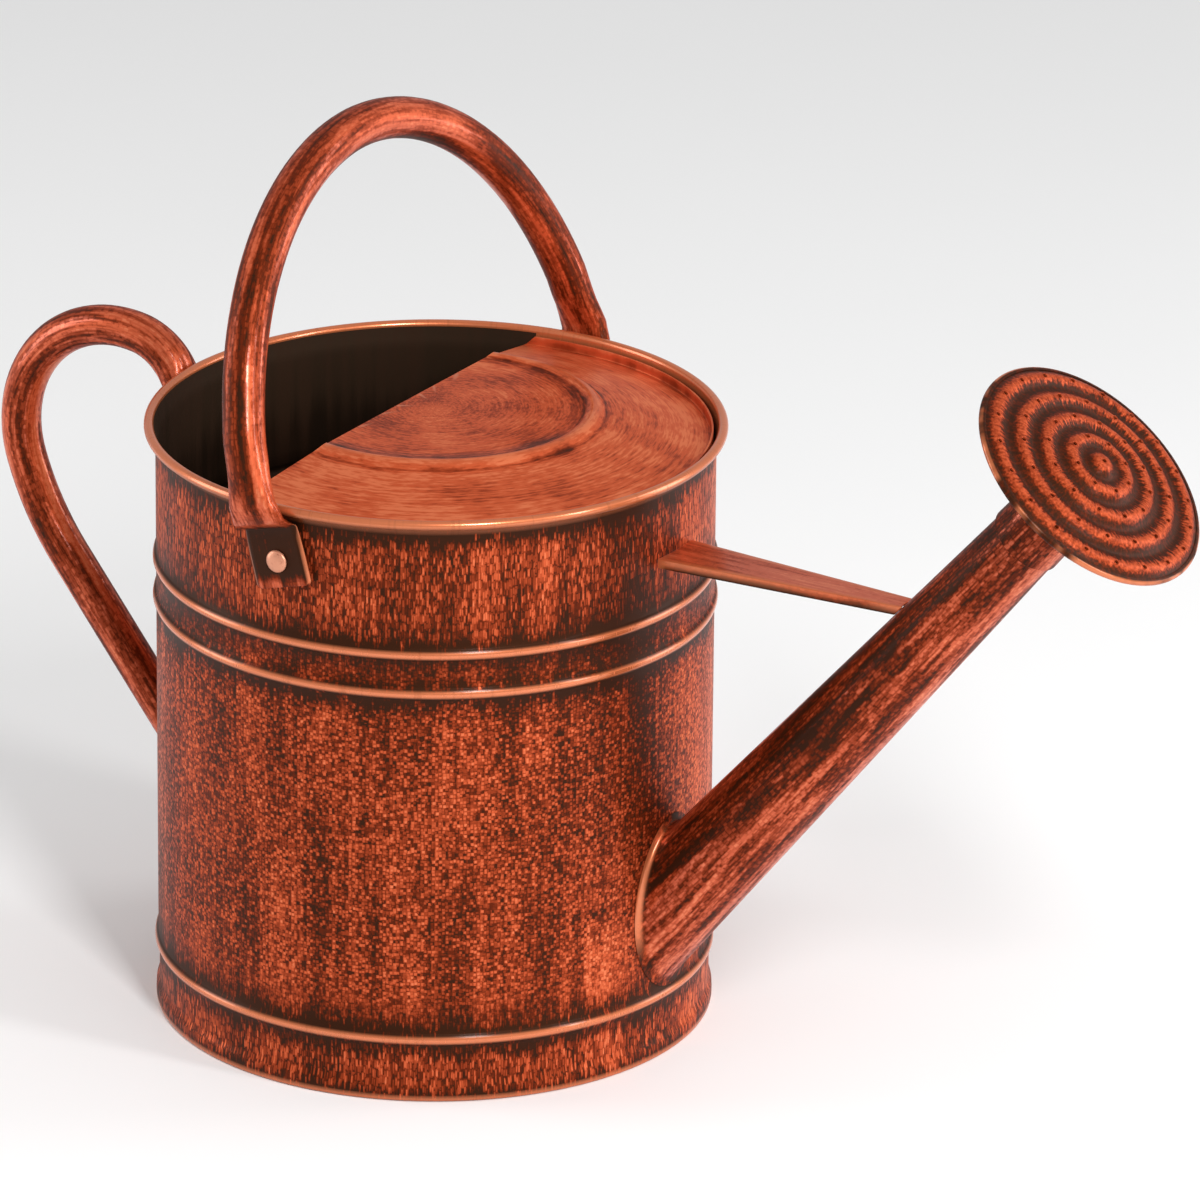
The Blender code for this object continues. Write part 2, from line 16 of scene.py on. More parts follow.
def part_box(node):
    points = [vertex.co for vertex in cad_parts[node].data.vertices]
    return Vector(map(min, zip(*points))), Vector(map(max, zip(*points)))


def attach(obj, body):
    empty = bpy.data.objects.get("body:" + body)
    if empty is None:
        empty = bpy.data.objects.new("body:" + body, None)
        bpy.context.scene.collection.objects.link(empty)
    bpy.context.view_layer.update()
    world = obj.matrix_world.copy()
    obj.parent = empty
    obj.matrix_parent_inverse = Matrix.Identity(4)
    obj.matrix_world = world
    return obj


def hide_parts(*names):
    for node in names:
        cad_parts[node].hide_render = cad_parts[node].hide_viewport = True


bl_info = {
    "name": "Copper Watering Can",
    "version": (1, 0, 0),
    "blender": (4, 5, 0),
    "location": "3D View > Sidebar > Watering Can",
    "description": "Builds a sheet-metal watering can with an antique copper finish",
    "category": "Add Mesh",
}

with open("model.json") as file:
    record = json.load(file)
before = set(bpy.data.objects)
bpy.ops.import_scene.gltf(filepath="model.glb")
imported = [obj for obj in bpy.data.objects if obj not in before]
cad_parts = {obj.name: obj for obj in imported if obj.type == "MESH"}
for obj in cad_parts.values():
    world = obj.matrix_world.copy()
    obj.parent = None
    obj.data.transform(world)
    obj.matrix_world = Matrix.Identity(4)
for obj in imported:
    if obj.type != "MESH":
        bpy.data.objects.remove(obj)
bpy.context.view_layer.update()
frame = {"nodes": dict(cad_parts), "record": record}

# Places that come from the frame
JOINTS = {joint["name"]: joint for joint in frame["record"]["behaviour"]["joints"]}
PIVOT = Vector(JOINTS["bail_swing"]["pos_m"])
BODY_AXIS = Vector((PIVOT.x, 0, 0))
SPOUT_AXIS = Vector(JOINTS["rose_pull"]["axis"]).normalized()
SPOUT_TILT = math.pi / 2 - math.asin(SPOUT_AXIS.z)
ACROSS_SPOUT = Vector((SPOUT_AXIS.z, 0, -SPOUT_AXIS.x))
ROSE_CENTRE = BODY_AXIS + Vector((0.2794, 0, 0.2679))
RIM_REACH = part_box("body_shell")[1][1]
UP = Vector((0, 0, 1))
AHEAD = Vector((1, 0, 0))

# Sheet-metal details in metres, the same all over the can
SHEET = 0.0007
GAP = 0.0003
HEM_WIDTH = 0.0026
HEM_EDGE = 0.0006
FLARE_Z = 0.0040
WAIST_Z = 0.0090
WAIST_DEPTH = 0.0004
BASE_FLANGE = (0.0010, 0.0045)
BASE_Z = 0.0062
BASE_DISH_Z = 0.0074
CURL_RADIUS = 0.00185
RIM_Z = 0.2307
COVER_EDGE_Z = 0.2259
COVER_CUT_X = -0.013
COVER_CUT_LEAN = 1.70
RING_HALF_WIDTH = 0.0038
RING_RISE = 0.0021

# Handles
TAB_THICKNESS = 0.0022
TAB_WIDTH = 0.0246
TAB_INNER_Y = 0.1061
RIM_CLEAR_Y = 0.1105
ARCH_WIDTH_POWER = 1.95
ARCH_HEIGHT_POWER = 2.17
REAR_LOW_Z = 0.0673
REAR_RISE = math.radians(38.6)
REAR_RUN = 0.0964
REAR_BENDS = ((0.1163, math.radians(20.7)), (0.0467, math.radians(117.9)), (0.0254, math.radians(50)))
REAR_TAB_LENGTH = 0.015
REAR_LOW_FILLET = 0.025
REAR_TOP_FILLET = 0.015
FLATTEN_LENGTH = 0.030
WASHER_THICKNESS = 0.0008

# Spout, brace and rose
SPOUT_TIP = 0.0120
BRACE_Z = 0.2020
BRACE_LENGTH = 0.085
ROSE_SHEET = 0.0006
NECK_SHEET = 0.0006
NECK_TOP = 0.014
NECK_FOOT = 0.040
RIDGE_PITCH = 0.01013
FIRST_RIDGE = 0.0021
BURR_RADIUS = 0.00014
FILLET_TOP = 0.0038
FILLET_FOOT = 0.0017
FILLET_LENGTH = 0.0075
# Holes on each ridge of the rose, and the angle of the first in degrees
ROSE_HOLES = ((1, 0), (8, 22.5), (12, 6.7), (16, 0), (20, 14))

# Paint
GLAZED_HEIGHT = 0.25
TUBE_FLECK = 0.0012

# How finely the pieces are divided
ARCH_START = 0.046
ARCH_STEPS = 64
FLAT_SHARE = 0.36
BODY_STEPS = 160
ROSE_STEPS = 120
TUBE_SIDES = 32
SPOUT_SIDES = 72

# The camera: its turn and rise round the can, its roll, what it looks at and from how far
CAMERA_TURN = math.radians(31.5)
CAMERA_RISE = math.radians(21.49)
CAMERA_ROLL = math.radians(0.543)
CAMERA_TARGET = BODY_AXIS + Vector((0.0528, 0.0323, 0.1600))
CAMERA_DISTANCE = 4.0194
CAMERA_LENS = 320.4


# Sizes and colours --------------------------------------------------------------------------------


def length(name, description, default):
    return FloatProperty(
        name=name, description=description, default=default, min=0, soft_max=0.5, unit="LENGTH", precision=4
    )


def colour(name, description, default):
    return FloatVectorProperty(
        name=name, description=description, default=default, subtype="COLOR", min=0, max=1
    )


def power(name, description, default):
    return FloatProperty(name=name, description=description, default=default, min=0, unit="POWER")


class CanBodySizes(bpy.types.PropertyGroup):
    radius: length("Radius", "Outer radius of the rolled wall", 0.105)
    foot_radius: length("Foot Radius", "Outer radius of the flared foot", 0.1059)
    low_bead: length("Low Bead", "Height of the single bead near the foot", 0.0247)
    pair_bead: length("Pair Bead", "Height of the lower bead of the upper pair", 0.1633)
    top_bead: length("Top Bead", "Height of the upper bead of the upper pair", 0.1787)
    bead_width: length("Bead Width", "Height of a bead from foot to foot", 0.0050)
    bead_depth: length("Bead Depth", "How far a bead stands out of the wall", 0.0013)
    cover_height: length("Cover Height", "Height of the cover's inner panel", 0.2367)
    ring_radius: length("Ring Radius", "Radius of the raised ring on the cover", 0.0597)


class HandleSizes(bpy.types.PropertyGroup):
    bail_tube: length("Bail Tube", "Radius of the bail's tube", 0.00788)
    bail_width: length("Bail Half Width", "Half the width of the bail's arch", 0.117)
    bail_height: length("Bail Height", "Height of the arch above its rivets", 0.1348)
    bail_lean: FloatProperty(
        name="Bail Lean",
        description="How far the bail leans back",
        default=math.radians(15.4),
        subtype="ANGLE",
    )
    rear_tube: length("Rear Tube", "Radius of the rear handle's tube", 0.0077)
    rivet_head: length("Rivet Head", "Radius of a rivet's head", 0.0043)


class SpoutSizes(bpy.types.PropertyGroup):
    tip_radius: length("Tip Radius", "Outer radius of the spout at the rose", 0.0122)
    taper: FloatProperty(name="Taper", description="Growth of the radius along the spout", default=0.0272)
    rose_radius: length("Rose Radius", "Radius of the rose's rim", 0.0485)
    rose_rise: length("Rose Rise", "Height of the rose's centre above its rim", 0.0074)
    rose_slope: FloatProperty(name="Rose Slope", description="Fall of the face to its rim", default=0.150)
    ridge_depth: length("Ridge Depth", "Half the height of the rose's ridges", 0.0008)
    hole_radius: length("Hole Radius", "Radius of the rose's holes", 0.0009)
    brace_foot: length("Brace Foot", "Width of the brace at the body", 0.0240)
    brace_tip: length("Brace Tip", "Width of the brace at the spout", 0.0100)
    brace_flange: length("Brace Flange", "Depth of the brace's turned edges", 0.0037)


class CopperColours(bpy.types.PropertyGroup):
    light: colour("Light Copper", "Copper rubbed almost clean", (0.72, 0.180, 0.075))
    bright: colour("Bright Copper", "Rubbed copper on the open surfaces", (0.56, 0.094, 0.032))
    middle: colour("Middle Copper", "Copper under a thin glaze", (0.27, 0.036, 0.010))
    brown: colour("Brown Glaze", "Copper under a thick glaze", (0.100, 0.011, 0.002))
    dark: colour("Dark Glaze", "Brown glaze left in the recesses", (0.024, 0.0070, 0.0028))
    # The crest colour also serves as painted highlight on the rim's top, the spout's lip and the bail tabs'
    # +X edges.
    crest: colour("Crest Copper", "Worn copper on beads and edges", (0.70, 0.190, 0.070))
    # Near-black: the inside paint also stands in for the shade inside the can.
    inside: colour("Inside Paint and Shade", "Dull paint inside the can", (0.008, 0.0045, 0.0025))
    rivet: colour("Rivet Metal", "Pale metal of the rivets", (0.66, 0.28, 0.17))


class StudioSettings(bpy.types.PropertyGroup):
    floor: colour("Floor", "Pale studio floor", (0.95, 0.95, 0.95))
    key_power: power("Key", "Power of the front softbox", 24)
    edge_power: power("Edges", "Power of the side softboxes", 12)
    strip_power: power("Strip", "Power of the narrow softbox", 12)
    sky: FloatProperty(name="Sky", description="Strength of the even light all round", default=0.52)


# Shader groups ------------------------------------------------------------------------------------


def node(tree, kind, inputs=(), **settings):
    """Adds a shader node, sets its properties and fills its inputs from values or other sockets."""
    made = tree.nodes.new(kind)
    for key, value in settings.items():
        setattr(made, key, value)
    for key, value in dict(inputs).items():
        fill(tree, made.inputs[key], value)
    return made


def fill(tree, socket, value):
    """Gives an input a value, or a link when the value is another node's output."""
    if isinstance(value, bpy.types.NodeSocket):
        tree.links.new(value, socket)
    else:
        socket.default_value = value


def maths(tree, operation, first, second=0.0, third=0.0, clamp=False):
    inputs = {0: first, 1: second, 2: third}
    return node(tree, "ShaderNodeMath", inputs, operation=operation, use_clamp=clamp).outputs[0]


def plus(tree, base, value, amount, middle=0.0):
    """Adds an amount of a value to a base. The value is counted from its middle."""
    if middle:
        value = maths(tree, "SUBTRACT", value, middle)
    return maths(tree, "MULTIPLY_ADD", value, amount, base)


def spread(tree, value, low, high, out_low=0.0, out_high=1.0):
    """Smoothly spreads a value between two limits over another range."""
    inputs = {"Value": value, "From Min": low, "From Max": high, "To Min": out_low, "To Max": out_high}
    return node(tree, "ShaderNodeMapRange", inputs, interpolation_type="SMOOTHSTEP").outputs[0]


def stripe(tree, value, rise, fall):
    """One between two pairs of limits: up over the first pair and down over the second."""
    return maths(tree, "MULTIPLY", spread(tree, value, *rise), spread(tree, value, *reversed(fall)))


def blend(tree, share, first, second):
    """Mixes two colours."""
    made = node(tree, "ShaderNodeMix", data_type="RGBA")
    for socket, value in ((made.inputs[0], share), (made.inputs[6], first), (made.inputs[7], second)):
        fill(tree, socket, value)
    return made.outputs[2]


def noise(tree, vector, scale=1.0, detail=2.0, roughness=0.5):
    inputs = {"Vector": vector, "Scale": scale, "Detail": detail, "Roughness": roughness}
    return node(tree, "ShaderNodeTexNoise", inputs).outputs["Fac"]


def parts_of(tree, vector):
    """The X, Y and Z of a vector."""
    return node(tree, "ShaderNodeSeparateXYZ", {0: vector}).outputs


def stretched(tree, vector, across, along):
    """Divides a vector's X and Y by one length and its Z by another."""
    sizes = (across, across, along)
    scaled = [maths(tree, "DIVIDE", part, size) for part, size in zip(parts_of(tree, vector), sizes)]
    return node(tree, "ShaderNodeCombineXYZ", dict(enumerate(scaled))).outputs[0]


def new_group(name, inputs, outputs):
    """A shader group with named sockets. Returns the tree, its inputs and the node that takes its outputs."""
    tree = bpy.data.node_groups.new(name, "ShaderNodeTree")
    kinds = {float: "NodeSocketFloat", tuple: "NodeSocketColor"}
    for label, value in inputs:
        kind = kinds.get(type(value), "NodeSocketVector")
        socket = tree.interface.new_socket(name=label, in_out="INPUT", socket_type=kind)
        if value is not None:
            socket.default_value = value
    for label, kind in outputs:
        tree.interface.new_socket(name=label, in_out="OUTPUT", socket_type=kind)
    start = tree.nodes.new("NodeGroupInput")
    end = tree.nodes.new("NodeGroupOutput")
    return tree, start.outputs, end.inputs


def use_group(tree, name, inputs):
    group = tree.nodes.new("ShaderNodeGroup")
    group.node_tree = bpy.data.node_groups[name]
    for key, value in inputs.items():
        fill(tree, group.inputs[key], value)
    return group.outputs


def make_flecks_group():
    """Small crossed marks, as a stiff brush leaves when dark glaze is wiped both ways."""
    inputs = (("Vector", None), ("Size", 0.0016), ("Length", 1.0))
    tree, start, end = new_group("Crossed Flecks", inputs, (("Flecks", "NodeSocketFloat"),))
    long_size = maths(tree, "MULTIPLY", start["Size"], start["Length"])
    place = stretched(tree, start["Vector"], start["Size"], long_size)
    drift = noise(tree, place, scale=0.7, detail=1.0)
    cells = {"Vector": place, "Scale": 1.0, "Randomness": 0.65}
    marks = node(tree, "ShaderNodeTexVoronoi", cells, distance="CHEBYCHEV").outputs
    chance = parts_of(tree, marks["Color"])[0]
    rim = spread(tree, marks["Distance"], 0.26, 0.52)
    value = plus(tree, maths(tree, "MULTIPLY", drift, 0.55), chance, 0.62)
    tree.links.new(maths(tree, "SUBTRACT", value, maths(tree, "MULTIPLY", rim, 0.42)), end["Flecks"])


def make_streaks_group():
    """Long soft streaks along the Z of the vector, broken up by patches."""
    inputs = (("Vector", None), ("Width", 0.0012), ("Length", 0.05))
    tree, start, end = new_group("Brush Streaks", inputs, (("Streaks", "NodeSocketFloat"),))
    fine = noise(tree, stretched(tree, start["Vector"], start["Width"], start["Length"]), detail=3.0)
    wide_width = maths(tree, "MULTIPLY", start["Width"], 6.0)
    wide_length = maths(tree, "MULTIPLY", start["Length"], 1.5)
    wide = noise(tree, stretched(tree, start["Vector"], wide_width, wide_length), detail=2.0)
    total = maths(tree, "ADD", fine, maths(tree, "MULTIPLY", wide, 0.8))
    tree.links.new(spread(tree, total, 0.62, 1.18), end["Streaks"])


def make_around_group():
    """Turns a place into its direction round the Z axis times a size, with its distance from the axis as Z.

    Unrolled gives the surface laid flat: X along the turn, Z along the axis. Its seam faces away along -X.
    """
    inputs = (("Vector", None), ("Turn Size", 0.06))
    outputs = (
        ("Vector", "NodeSocketVector"),
        ("Radius", "NodeSocketFloat"),
        ("Unrolled", "NodeSocketVector"),
    )
    tree, start, end = new_group("Round the Axis", inputs, outputs)
    x, y, z = parts_of(tree, start["Vector"])
    squares = [maths(tree, "MULTIPLY", part, part) for part in (x, y)]
    radius = maths(tree, "SQRT", maths(tree, "ADD", *squares))
    off_axis = maths(tree, "MAXIMUM", radius, 1e-5)
    directions = [maths(tree, "DIVIDE", part, off_axis) for part in (x, y)]
    turns = [maths(tree, "MULTIPLY", direction, start["Turn Size"]) for direction in directions]
    place = node(tree, "ShaderNodeCombineXYZ", {0: turns[0], 1: turns[1], 2: radius}).outputs[0]
    flat = maths(tree, "MULTIPLY", maths(tree, "ARCTAN2", y, x), start["Turn Size"])
    unrolled = node(tree, "ShaderNodeCombineXYZ", {0: flat, 2: z}).outputs[0]
    tree.links.new(place, end["Vector"])
    tree.links.new(radius, end["Radius"])
    tree.links.new(unrolled, end["Unrolled"])


def make_paint_group(colours):
    """Antique paint: dark glaze where the mask is low, clean copper where it is high, and worn crests."""
    names = ("dark", "brown", "middle", "bright", "light")
    tones = [(name.title(), (*getattr(colours, name), 1.0)) for name in names]
    crest_tone = ("Crest Colour", (*colours.crest, 1.0))
    inputs = (("Mask", 0.5), ("Glaze", 0.0), ("Crest", 0.0), *tones, crest_tone)
    outputs = (
        ("Color", "NodeSocketColor"),
        ("Roughness", "NodeSocketFloat"),
        ("Metallic", "NodeSocketFloat"),
        ("Coat", "NodeSocketFloat"),
        ("Height", "NodeSocketFloat"),
    )
    tree, start, end = new_group("Antique Copper Paint", inputs, outputs)
    crest = start["Crest"]
    # The glaze input also carries painted shade from the recess marks of the cover, the bail's tabs and the
    # brace.
    value = plus(tree, start["Mask"], start["Glaze"], -0.80)
    painted = start["Dark"]
    for (name, _), low, high in zip(tones[1:], (0.02, 0.26, 0.46, 0.72), (0.26, 0.46, 0.72, 0.98)):
        painted = blend(tree, spread(tree, value, low, high), painted, start[name])
    tree.links.new(blend(tree, crest, painted, start["Crest Colour"]), end["Color"])
    bare = maths(tree, "MAXIMUM", spread(tree, value, 0.1, 0.8), crest)
    tree.links.new(plus(tree, plus(tree, 0.50, bare, -0.14), crest, -0.10), end["Roughness"])
    tree.links.new(plus(tree, plus(tree, 0.05, bare, 0.35), crest, 0.20), end["Metallic"])
    tree.links.new(plus(tree, 0.03, crest, 0.95), end["Coat"])
    tree.links.new(spread(tree, value, -0.2, 1.0), end["Height"])


# Materials ----------------------------------------------------------------------------------------


def blank_material(name):
    material = bpy.data.materials.new(name)
    material.use_nodes = True
    tree = material.node_tree
    return material, tree, tree.nodes["Principled BSDF"]


def object_place(tree, origin=(0, 0, 0), turn=(0, 0, 0)):
    """Object coordinates seen from an origin, with the local axes turned."""
    coordinates = tree.nodes.new("ShaderNodeTexCoord").outputs["Object"]
    inputs = {"Vector": coordinates, "Location": origin, "Rotation": turn}
    return node(tree, "ShaderNodeMapping", inputs, vector_type="TEXTURE").outputs[0]


def round_axis(tree, place, turn_size):
    return use_group(tree, "Round the Axis", {"Vector": place, "Turn Size": turn_size})


def flecks_on(tree, place, size, length):
    return use_group(tree, "Crossed Flecks", {"Vector": place, "Size": size, "Length": length})["Flecks"]


def streaks_on(tree, place, width, length):
    return use_group(tree, "Brush Streaks", {"Vector": place, "Width": width, "Length": length})["Streaks"]


def stored(tree, name):
    """The outputs that read a mark stored on the piece."""
    return node(tree, "ShaderNodeAttribute", attribute_name=name).outputs


def relief(tree, shader, height, strength, distance):
    inputs = {"Strength": strength, "Distance": distance, "Height": height}
    tree.links.new(node(tree, "ShaderNodeBump", inputs).outputs[0], shader.inputs["Normal"])


def antique_copper(tree, shader, mask, glaze=0.0, crest=0.0, bump=0.12):
    """Puts the antique paint on the shader, and returns the paint's outputs."""
    paint = use_group(tree, "Antique Copper Paint", {"Mask": mask, "Glaze": glaze, "Crest": crest})
    sockets = {"Color": "Base Color", "Roughness": "Roughness", "Metallic": "Metallic", "Coat": "Coat Weight"}
    for output, socket in sockets.items():
        tree.links.new(paint[output], shader.inputs[socket])
    relief(tree, shader, paint["Height"], bump, 0.0002)
    shader.inputs["Coat Roughness"].default_value = 0.16
    shader.inputs["Specular IOR Level"].default_value = 0.20
    shader.inputs["Specular Tint"].default_value = (1.0, 0.42, 0.22, 1)
    return paint


def glaze_stops(sizes):
    """Height up the wall and the glaze kept there: most of it beside the beads and under the rim."""
    low, pair, top = sizes.low_bead, sizes.pair_bead, sizes.top_bead
    return (
        (0.000, 0.60),
        (0.005, 0.10),
        (0.015, 0.00),
        (low - 0.0045, 0.45),
        (low + 0.0030, 0.78),
        (low + 0.0062, 0.26),
        (low + 0.0150, 0.02),
        (0.125, 0.02),
        (pair - 0.0120, 0.06),
        (pair - 0.0060, 0.26),
        (pair - 0.0030, 0.80),
        (pair + 0.0060, 0.24),
        (top - 0.0070, 0.26),
        (top + 0.0028, 0.74),
        (top + 0.0062, 0.22),
        (0.196, 0.02),
        (0.218, 0.04),
        (0.2275, 0.76),
    )


def wall_glaze(tree, height, streaks):
    """How much glaze the wall keeps, with its edges dragged up and down by the streaks."""
    ragged = plus(tree, maths(tree, "SUBTRACT", height, 0.0030), streaks, 0.0060)
    ramp = tree.nodes.new("ShaderNodeValToRGB")
    ramp.color_ramp.interpolation = "EASE"
    stops = glaze_stops(bpy.context.scene.can_body)
    elements = ramp.color_ramp.elements
    while len(elements) < len(stops):
        elements.new(0.5)
    for element, (spot, value) in zip(elements, stops):
        element.position = spot / GLAZED_HEIGHT
        element.color = (value, value, value, 1)
    tree.links.new(maths(tree, "DIVIDE", ragged, GLAZED_HEIGHT), ramp.inputs[0])
    return ramp.outputs[0]


def wall_patches(tree, mask, turn, height):
    """Adds painted shade on the wall above and beside the spout, standing in for the spout's shadow and
    reflection, painted light on the wall's +Y side, and a lighter low smear.
    """
    # Painted shade on the wall above and beside the spout's foot, standing in for the spout's shadow and
    # reflection.
    painted_spout_shade = stripe(tree, turn, (-0.042, -0.026), (-0.014, -0.002))
    painted_spout_shade = maths(tree, "MULTIPLY", painted_spout_shade, spread(tree, height, 0.060, 0.120, 0.35, 1.0))
    mask = plus(tree, mask, painted_spout_shade, -0.20)
    # Painted light: the wall is lighter from the spout round to its +Y side.
    mask = plus(tree, mask, spread(tree, turn, -0.002, 0.012), 0.16)
    smear = stripe(tree, turn, (-0.048, -0.036), (-0.028, -0.016))
    smear = maths(tree, "MULTIPLY", smear, spread(tree, height, 0.066, 0.054))
    return plus(tree, mask, smear, 0.24)


def wall_paint():
    """Copper wall: crossed flecks in the middle, upright streaks at the ends, dark glaze beside the beads."""
    material, tree, shader = blank_material("Wall Copper")
    place = object_place(tree, BODY_AXIS)
    flat = round_axis(tree, place, bpy.context.scene.can_body.radius)["Unrolled"]
    round_wall, _, height = parts_of(tree, flat)
    streaks = streaks_on(tree, flat, 0.0012, 0.030)
    long_streaks = streaks_on(tree, flat, 0.0020, 0.110)
    ends = maths(
        tree, "ADD", spread(tree, height, 0.150, 0.200), spread(tree, height, 0.050, 0.020), clamp=True
    )
    crossed = flecks_on(tree, flat, 0.00130, 1.0)
    upright = flecks_on(tree, flat, 0.00080, 4.0)
    marks = node(tree, "ShaderNodeMix", {0: ends, 2: crossed, 3: upright}).outputs[0]
    mask = plus(tree, maths(tree, "MULTIPLY", marks, 0.74), long_streaks, 0.26)
    clouds = noise(tree, stretched(tree, place, 0.016, 0.050), detail=3.0)
    mask = plus(tree, mask, clouds, 0.55, middle=0.45)
    mask = wall_patches(tree, mask, plus(tree, round_wall, long_streaks, 0.006), height)
    worn = spread(tree, streaks, -0.2, 0.40, 0.75, 1.0)
    crest = maths(tree, "MULTIPLY", stored(tree, "crest")["Fac"], worn, clamp=True)
    antique_copper(tree, shader, mask, wall_glaze(tree, height, streaks), crest, bump=0.16)
    return material


def inside_paint_and_shade():
    """Dull dark paint with faint runs, made near-black as painted shade inside the can, and a little warmer
    under the rim as painted light near the opening.
    """
    material, tree, shader = blank_material("Inside Paint and Shade")
    colours = bpy.context.scene.copper_colours
    place = object_place(tree, BODY_AXIS)
    runs = streaks_on(tree, place, 0.004, 0.08)
    # Painted light: the inside turns warmer and lighter towards the opening.
    upper = spread(tree, plus(tree, parts_of(tree, place)[2], runs, 0.010), 0.196, 0.214)
    warm = tuple(min(channel * 2.6, 1) for channel in colours.inside)
    base = blend(tree, upper, (*colours.inside, 1), (*warm, 1))
    worn = blend(tree, maths(tree, "MULTIPLY", runs, 0.35), base, (*colours.dark, 1))
    tree.links.new(worn, shader.inputs["Base Color"])
    tree.links.new(spread(tree, runs, 0.0, 1.0, 0.50, 0.66), shader.inputs["Roughness"])
    shader.inputs["Specular IOR Level"].default_value = 0.25
    shader.inputs["Specular Tint"].default_value = (1.0, 0.60, 0.42, 1)
    relief(tree, shader, runs, 0.10, 0.0003)
    return material


def cover_paint():
    """Copper rubbed in rings round the cover's middle, with glaze and painted shade in the valleys of the
    raised ring.
    """
    material, tree, shader = blank_material("Cover Copper")
    ring_radius = bpy.context.scene.can_body.ring_radius
    place = object_place(tree, BODY_AXIS)
    around = round_axis(tree, place, 0.05)
    rings = noise(tree, stretched(tree, around["Vector"], 0.016, 0.0011), detail=3.0, roughness=0.6)
    short = noise(tree, stretched(tree, around["Vector"], 0.003, 0.0009), detail=2.0)
    clouds = noise(tree, stretched(tree, place, 0.020, 0.020), detail=3.0)
    mask = plus(tree, maths(tree, "MULTIPLY", clouds, 0.90), rings, 0.90)
    mask = plus(tree, maths(tree, "SUBTRACT", mask, 0.46), short, 0.70)
    inner = spread(tree, around["Radius"], ring_radius - 0.002, ring_radius - 0.012, 0.0, 0.16)
    # The recess mark darkens as glaze and painted shade.
    glaze = plus(tree, inner, stored(tree, "recess")["Fac"], 0.60)
    crest = maths(tree, "MULTIPLY", stored(tree, "crest")["Fac"], 0.8)
    antique_copper(tree, shader, mask, glaze, crest, bump=0.10)
    return material


def shade_tube(tree, mask, place, blots):
    """Paints shade along the tube's upper side and painted light on the side next to it, with a blotted edge
    between them.
    """
    across = plus(tree, parts_of(tree, place)[0], blots, 0.012)
    mask = plus(tree, mask, stripe(tree, across, (-0.012, -0.004), (0.002, 0.010)), -0.24)
    return plus(tree, mask, spread(tree, across, 0.014, 0.020), 0.10)


def tube_paint(name, origin=None, turn=(0, 0, 0), lift=0.0, contrast=1.0, fleck=0.40, shaded=False):
    """Copper with flecks and streaks along a tube, by its unbent place or by object coordinates."""
    material, tree, shader = blank_material(name)
    place = stored(tree, "unbent")["Vector"] if origin is None else object_place(tree, origin, turn)
    flecks = flecks_on(tree, place, TUBE_FLECK, 1.8)
    streaks = streaks_on(tree, place, TUBE_FLECK * 1.4, 0.045)
    blots = noise(tree, stretched(tree, place, 0.0050, 0.050), detail=4.0, roughness=0.6)
    mask = plus(tree, maths(tree, "MULTIPLY", streaks, 0.40 * contrast), flecks, fleck * contrast)
    spots = spread(tree, blots, 0.30, 0.70, -0.12 * contrast, 0.48 * contrast)
    level = lift + 0.50 * (1 - contrast) + 0.50 * (0.40 - fleck)
    mask = maths(tree, "ADD", maths(tree, "ADD", mask, spots), level)
    if shaded:
        mask = shade_tube(tree, mask, place, blots)
    # The recess mark darkens as glaze and, on the bail's tabs and the brace's flanges, as painted shade.
    recess = stored(tree, "recess")["Fac"]
    # The crest mark is worn copper, and on the bail tabs' +X edges and the spout's lip also painted
    # highlight.
    crest = maths(tree, "MULTIPLY", stored(tree, "crest")["Fac"], 0.9)
    paint = antique_copper(tree, shader, mask, maths(tree, "MULTIPLY", recess, 0.90), crest)
    open_copper = spread(tree, recess, 0.0, 0.5, 1.0, 0.0)
    rubbed = maths(tree, "MULTIPLY", spread(tree, mask, 0.35, 0.80), open_copper)
    lacquer = maths(tree, "MAXIMUM", paint["Coat"], plus(tree, 0.02, rubbed, 0.55))
    tree.links.new(lacquer, shader.inputs["Coat Weight"])
    return material


def rose_paint():
    """Copper on the rose's ridges and dark glaze in its valleys, with edges dragged in and out."""
    material, tree, shader = blank_material("Rose Copper")
    rim = bpy.context.scene.can_spout.rose_radius
    place = object_place(tree, ROSE_CENTRE, (0, SPOUT_TILT, 0))
    around = round_axis(tree, place, 0.03)
    drags = noise(tree, stretched(tree, around["Vector"], 0.0008, 0.0050), detail=2.0)
    wide = noise(tree, stretched(tree, around["Vector"], 0.0080, 0.0200), detail=2.0)
    fine = noise(tree, stretched(tree, place, 0.0011, 0.0011), detail=2.0)
    ragged = plus(tree, around["Radius"], drags, 0.0030, middle=0.5)
    ragged = plus(tree, ragged, wide, 0.0020, middle=0.5)
    phase = maths(tree, "MULTIPLY", maths(tree, "SUBTRACT", ragged, FIRST_RIDGE), math.tau / RIDGE_PITCH)
    ridge = plus(tree, maths(tree, "COSINE", phase), drags, 1.3, middle=0.5)
    ridge = plus(tree, ridge, fine, 1.6, middle=0.5)
    mask = plus(tree, -0.10, spread(tree, ridge, -0.60, 1.00), 0.50)
    mask = plus(tree, mask, fine, 0.36)
    mask = plus(tree, mask, drags, 0.35, middle=0.5)
    lip = spread(tree, around["Radius"], rim - 0.0011, rim - 0.0003, 0.0, 0.8)
    crest = maths(tree, "MULTIPLY", lip, spread(tree, wide, 0.40, 0.60))
    antique_copper(tree, shader, mask, 0.0, crest, bump=0.14)
    return material


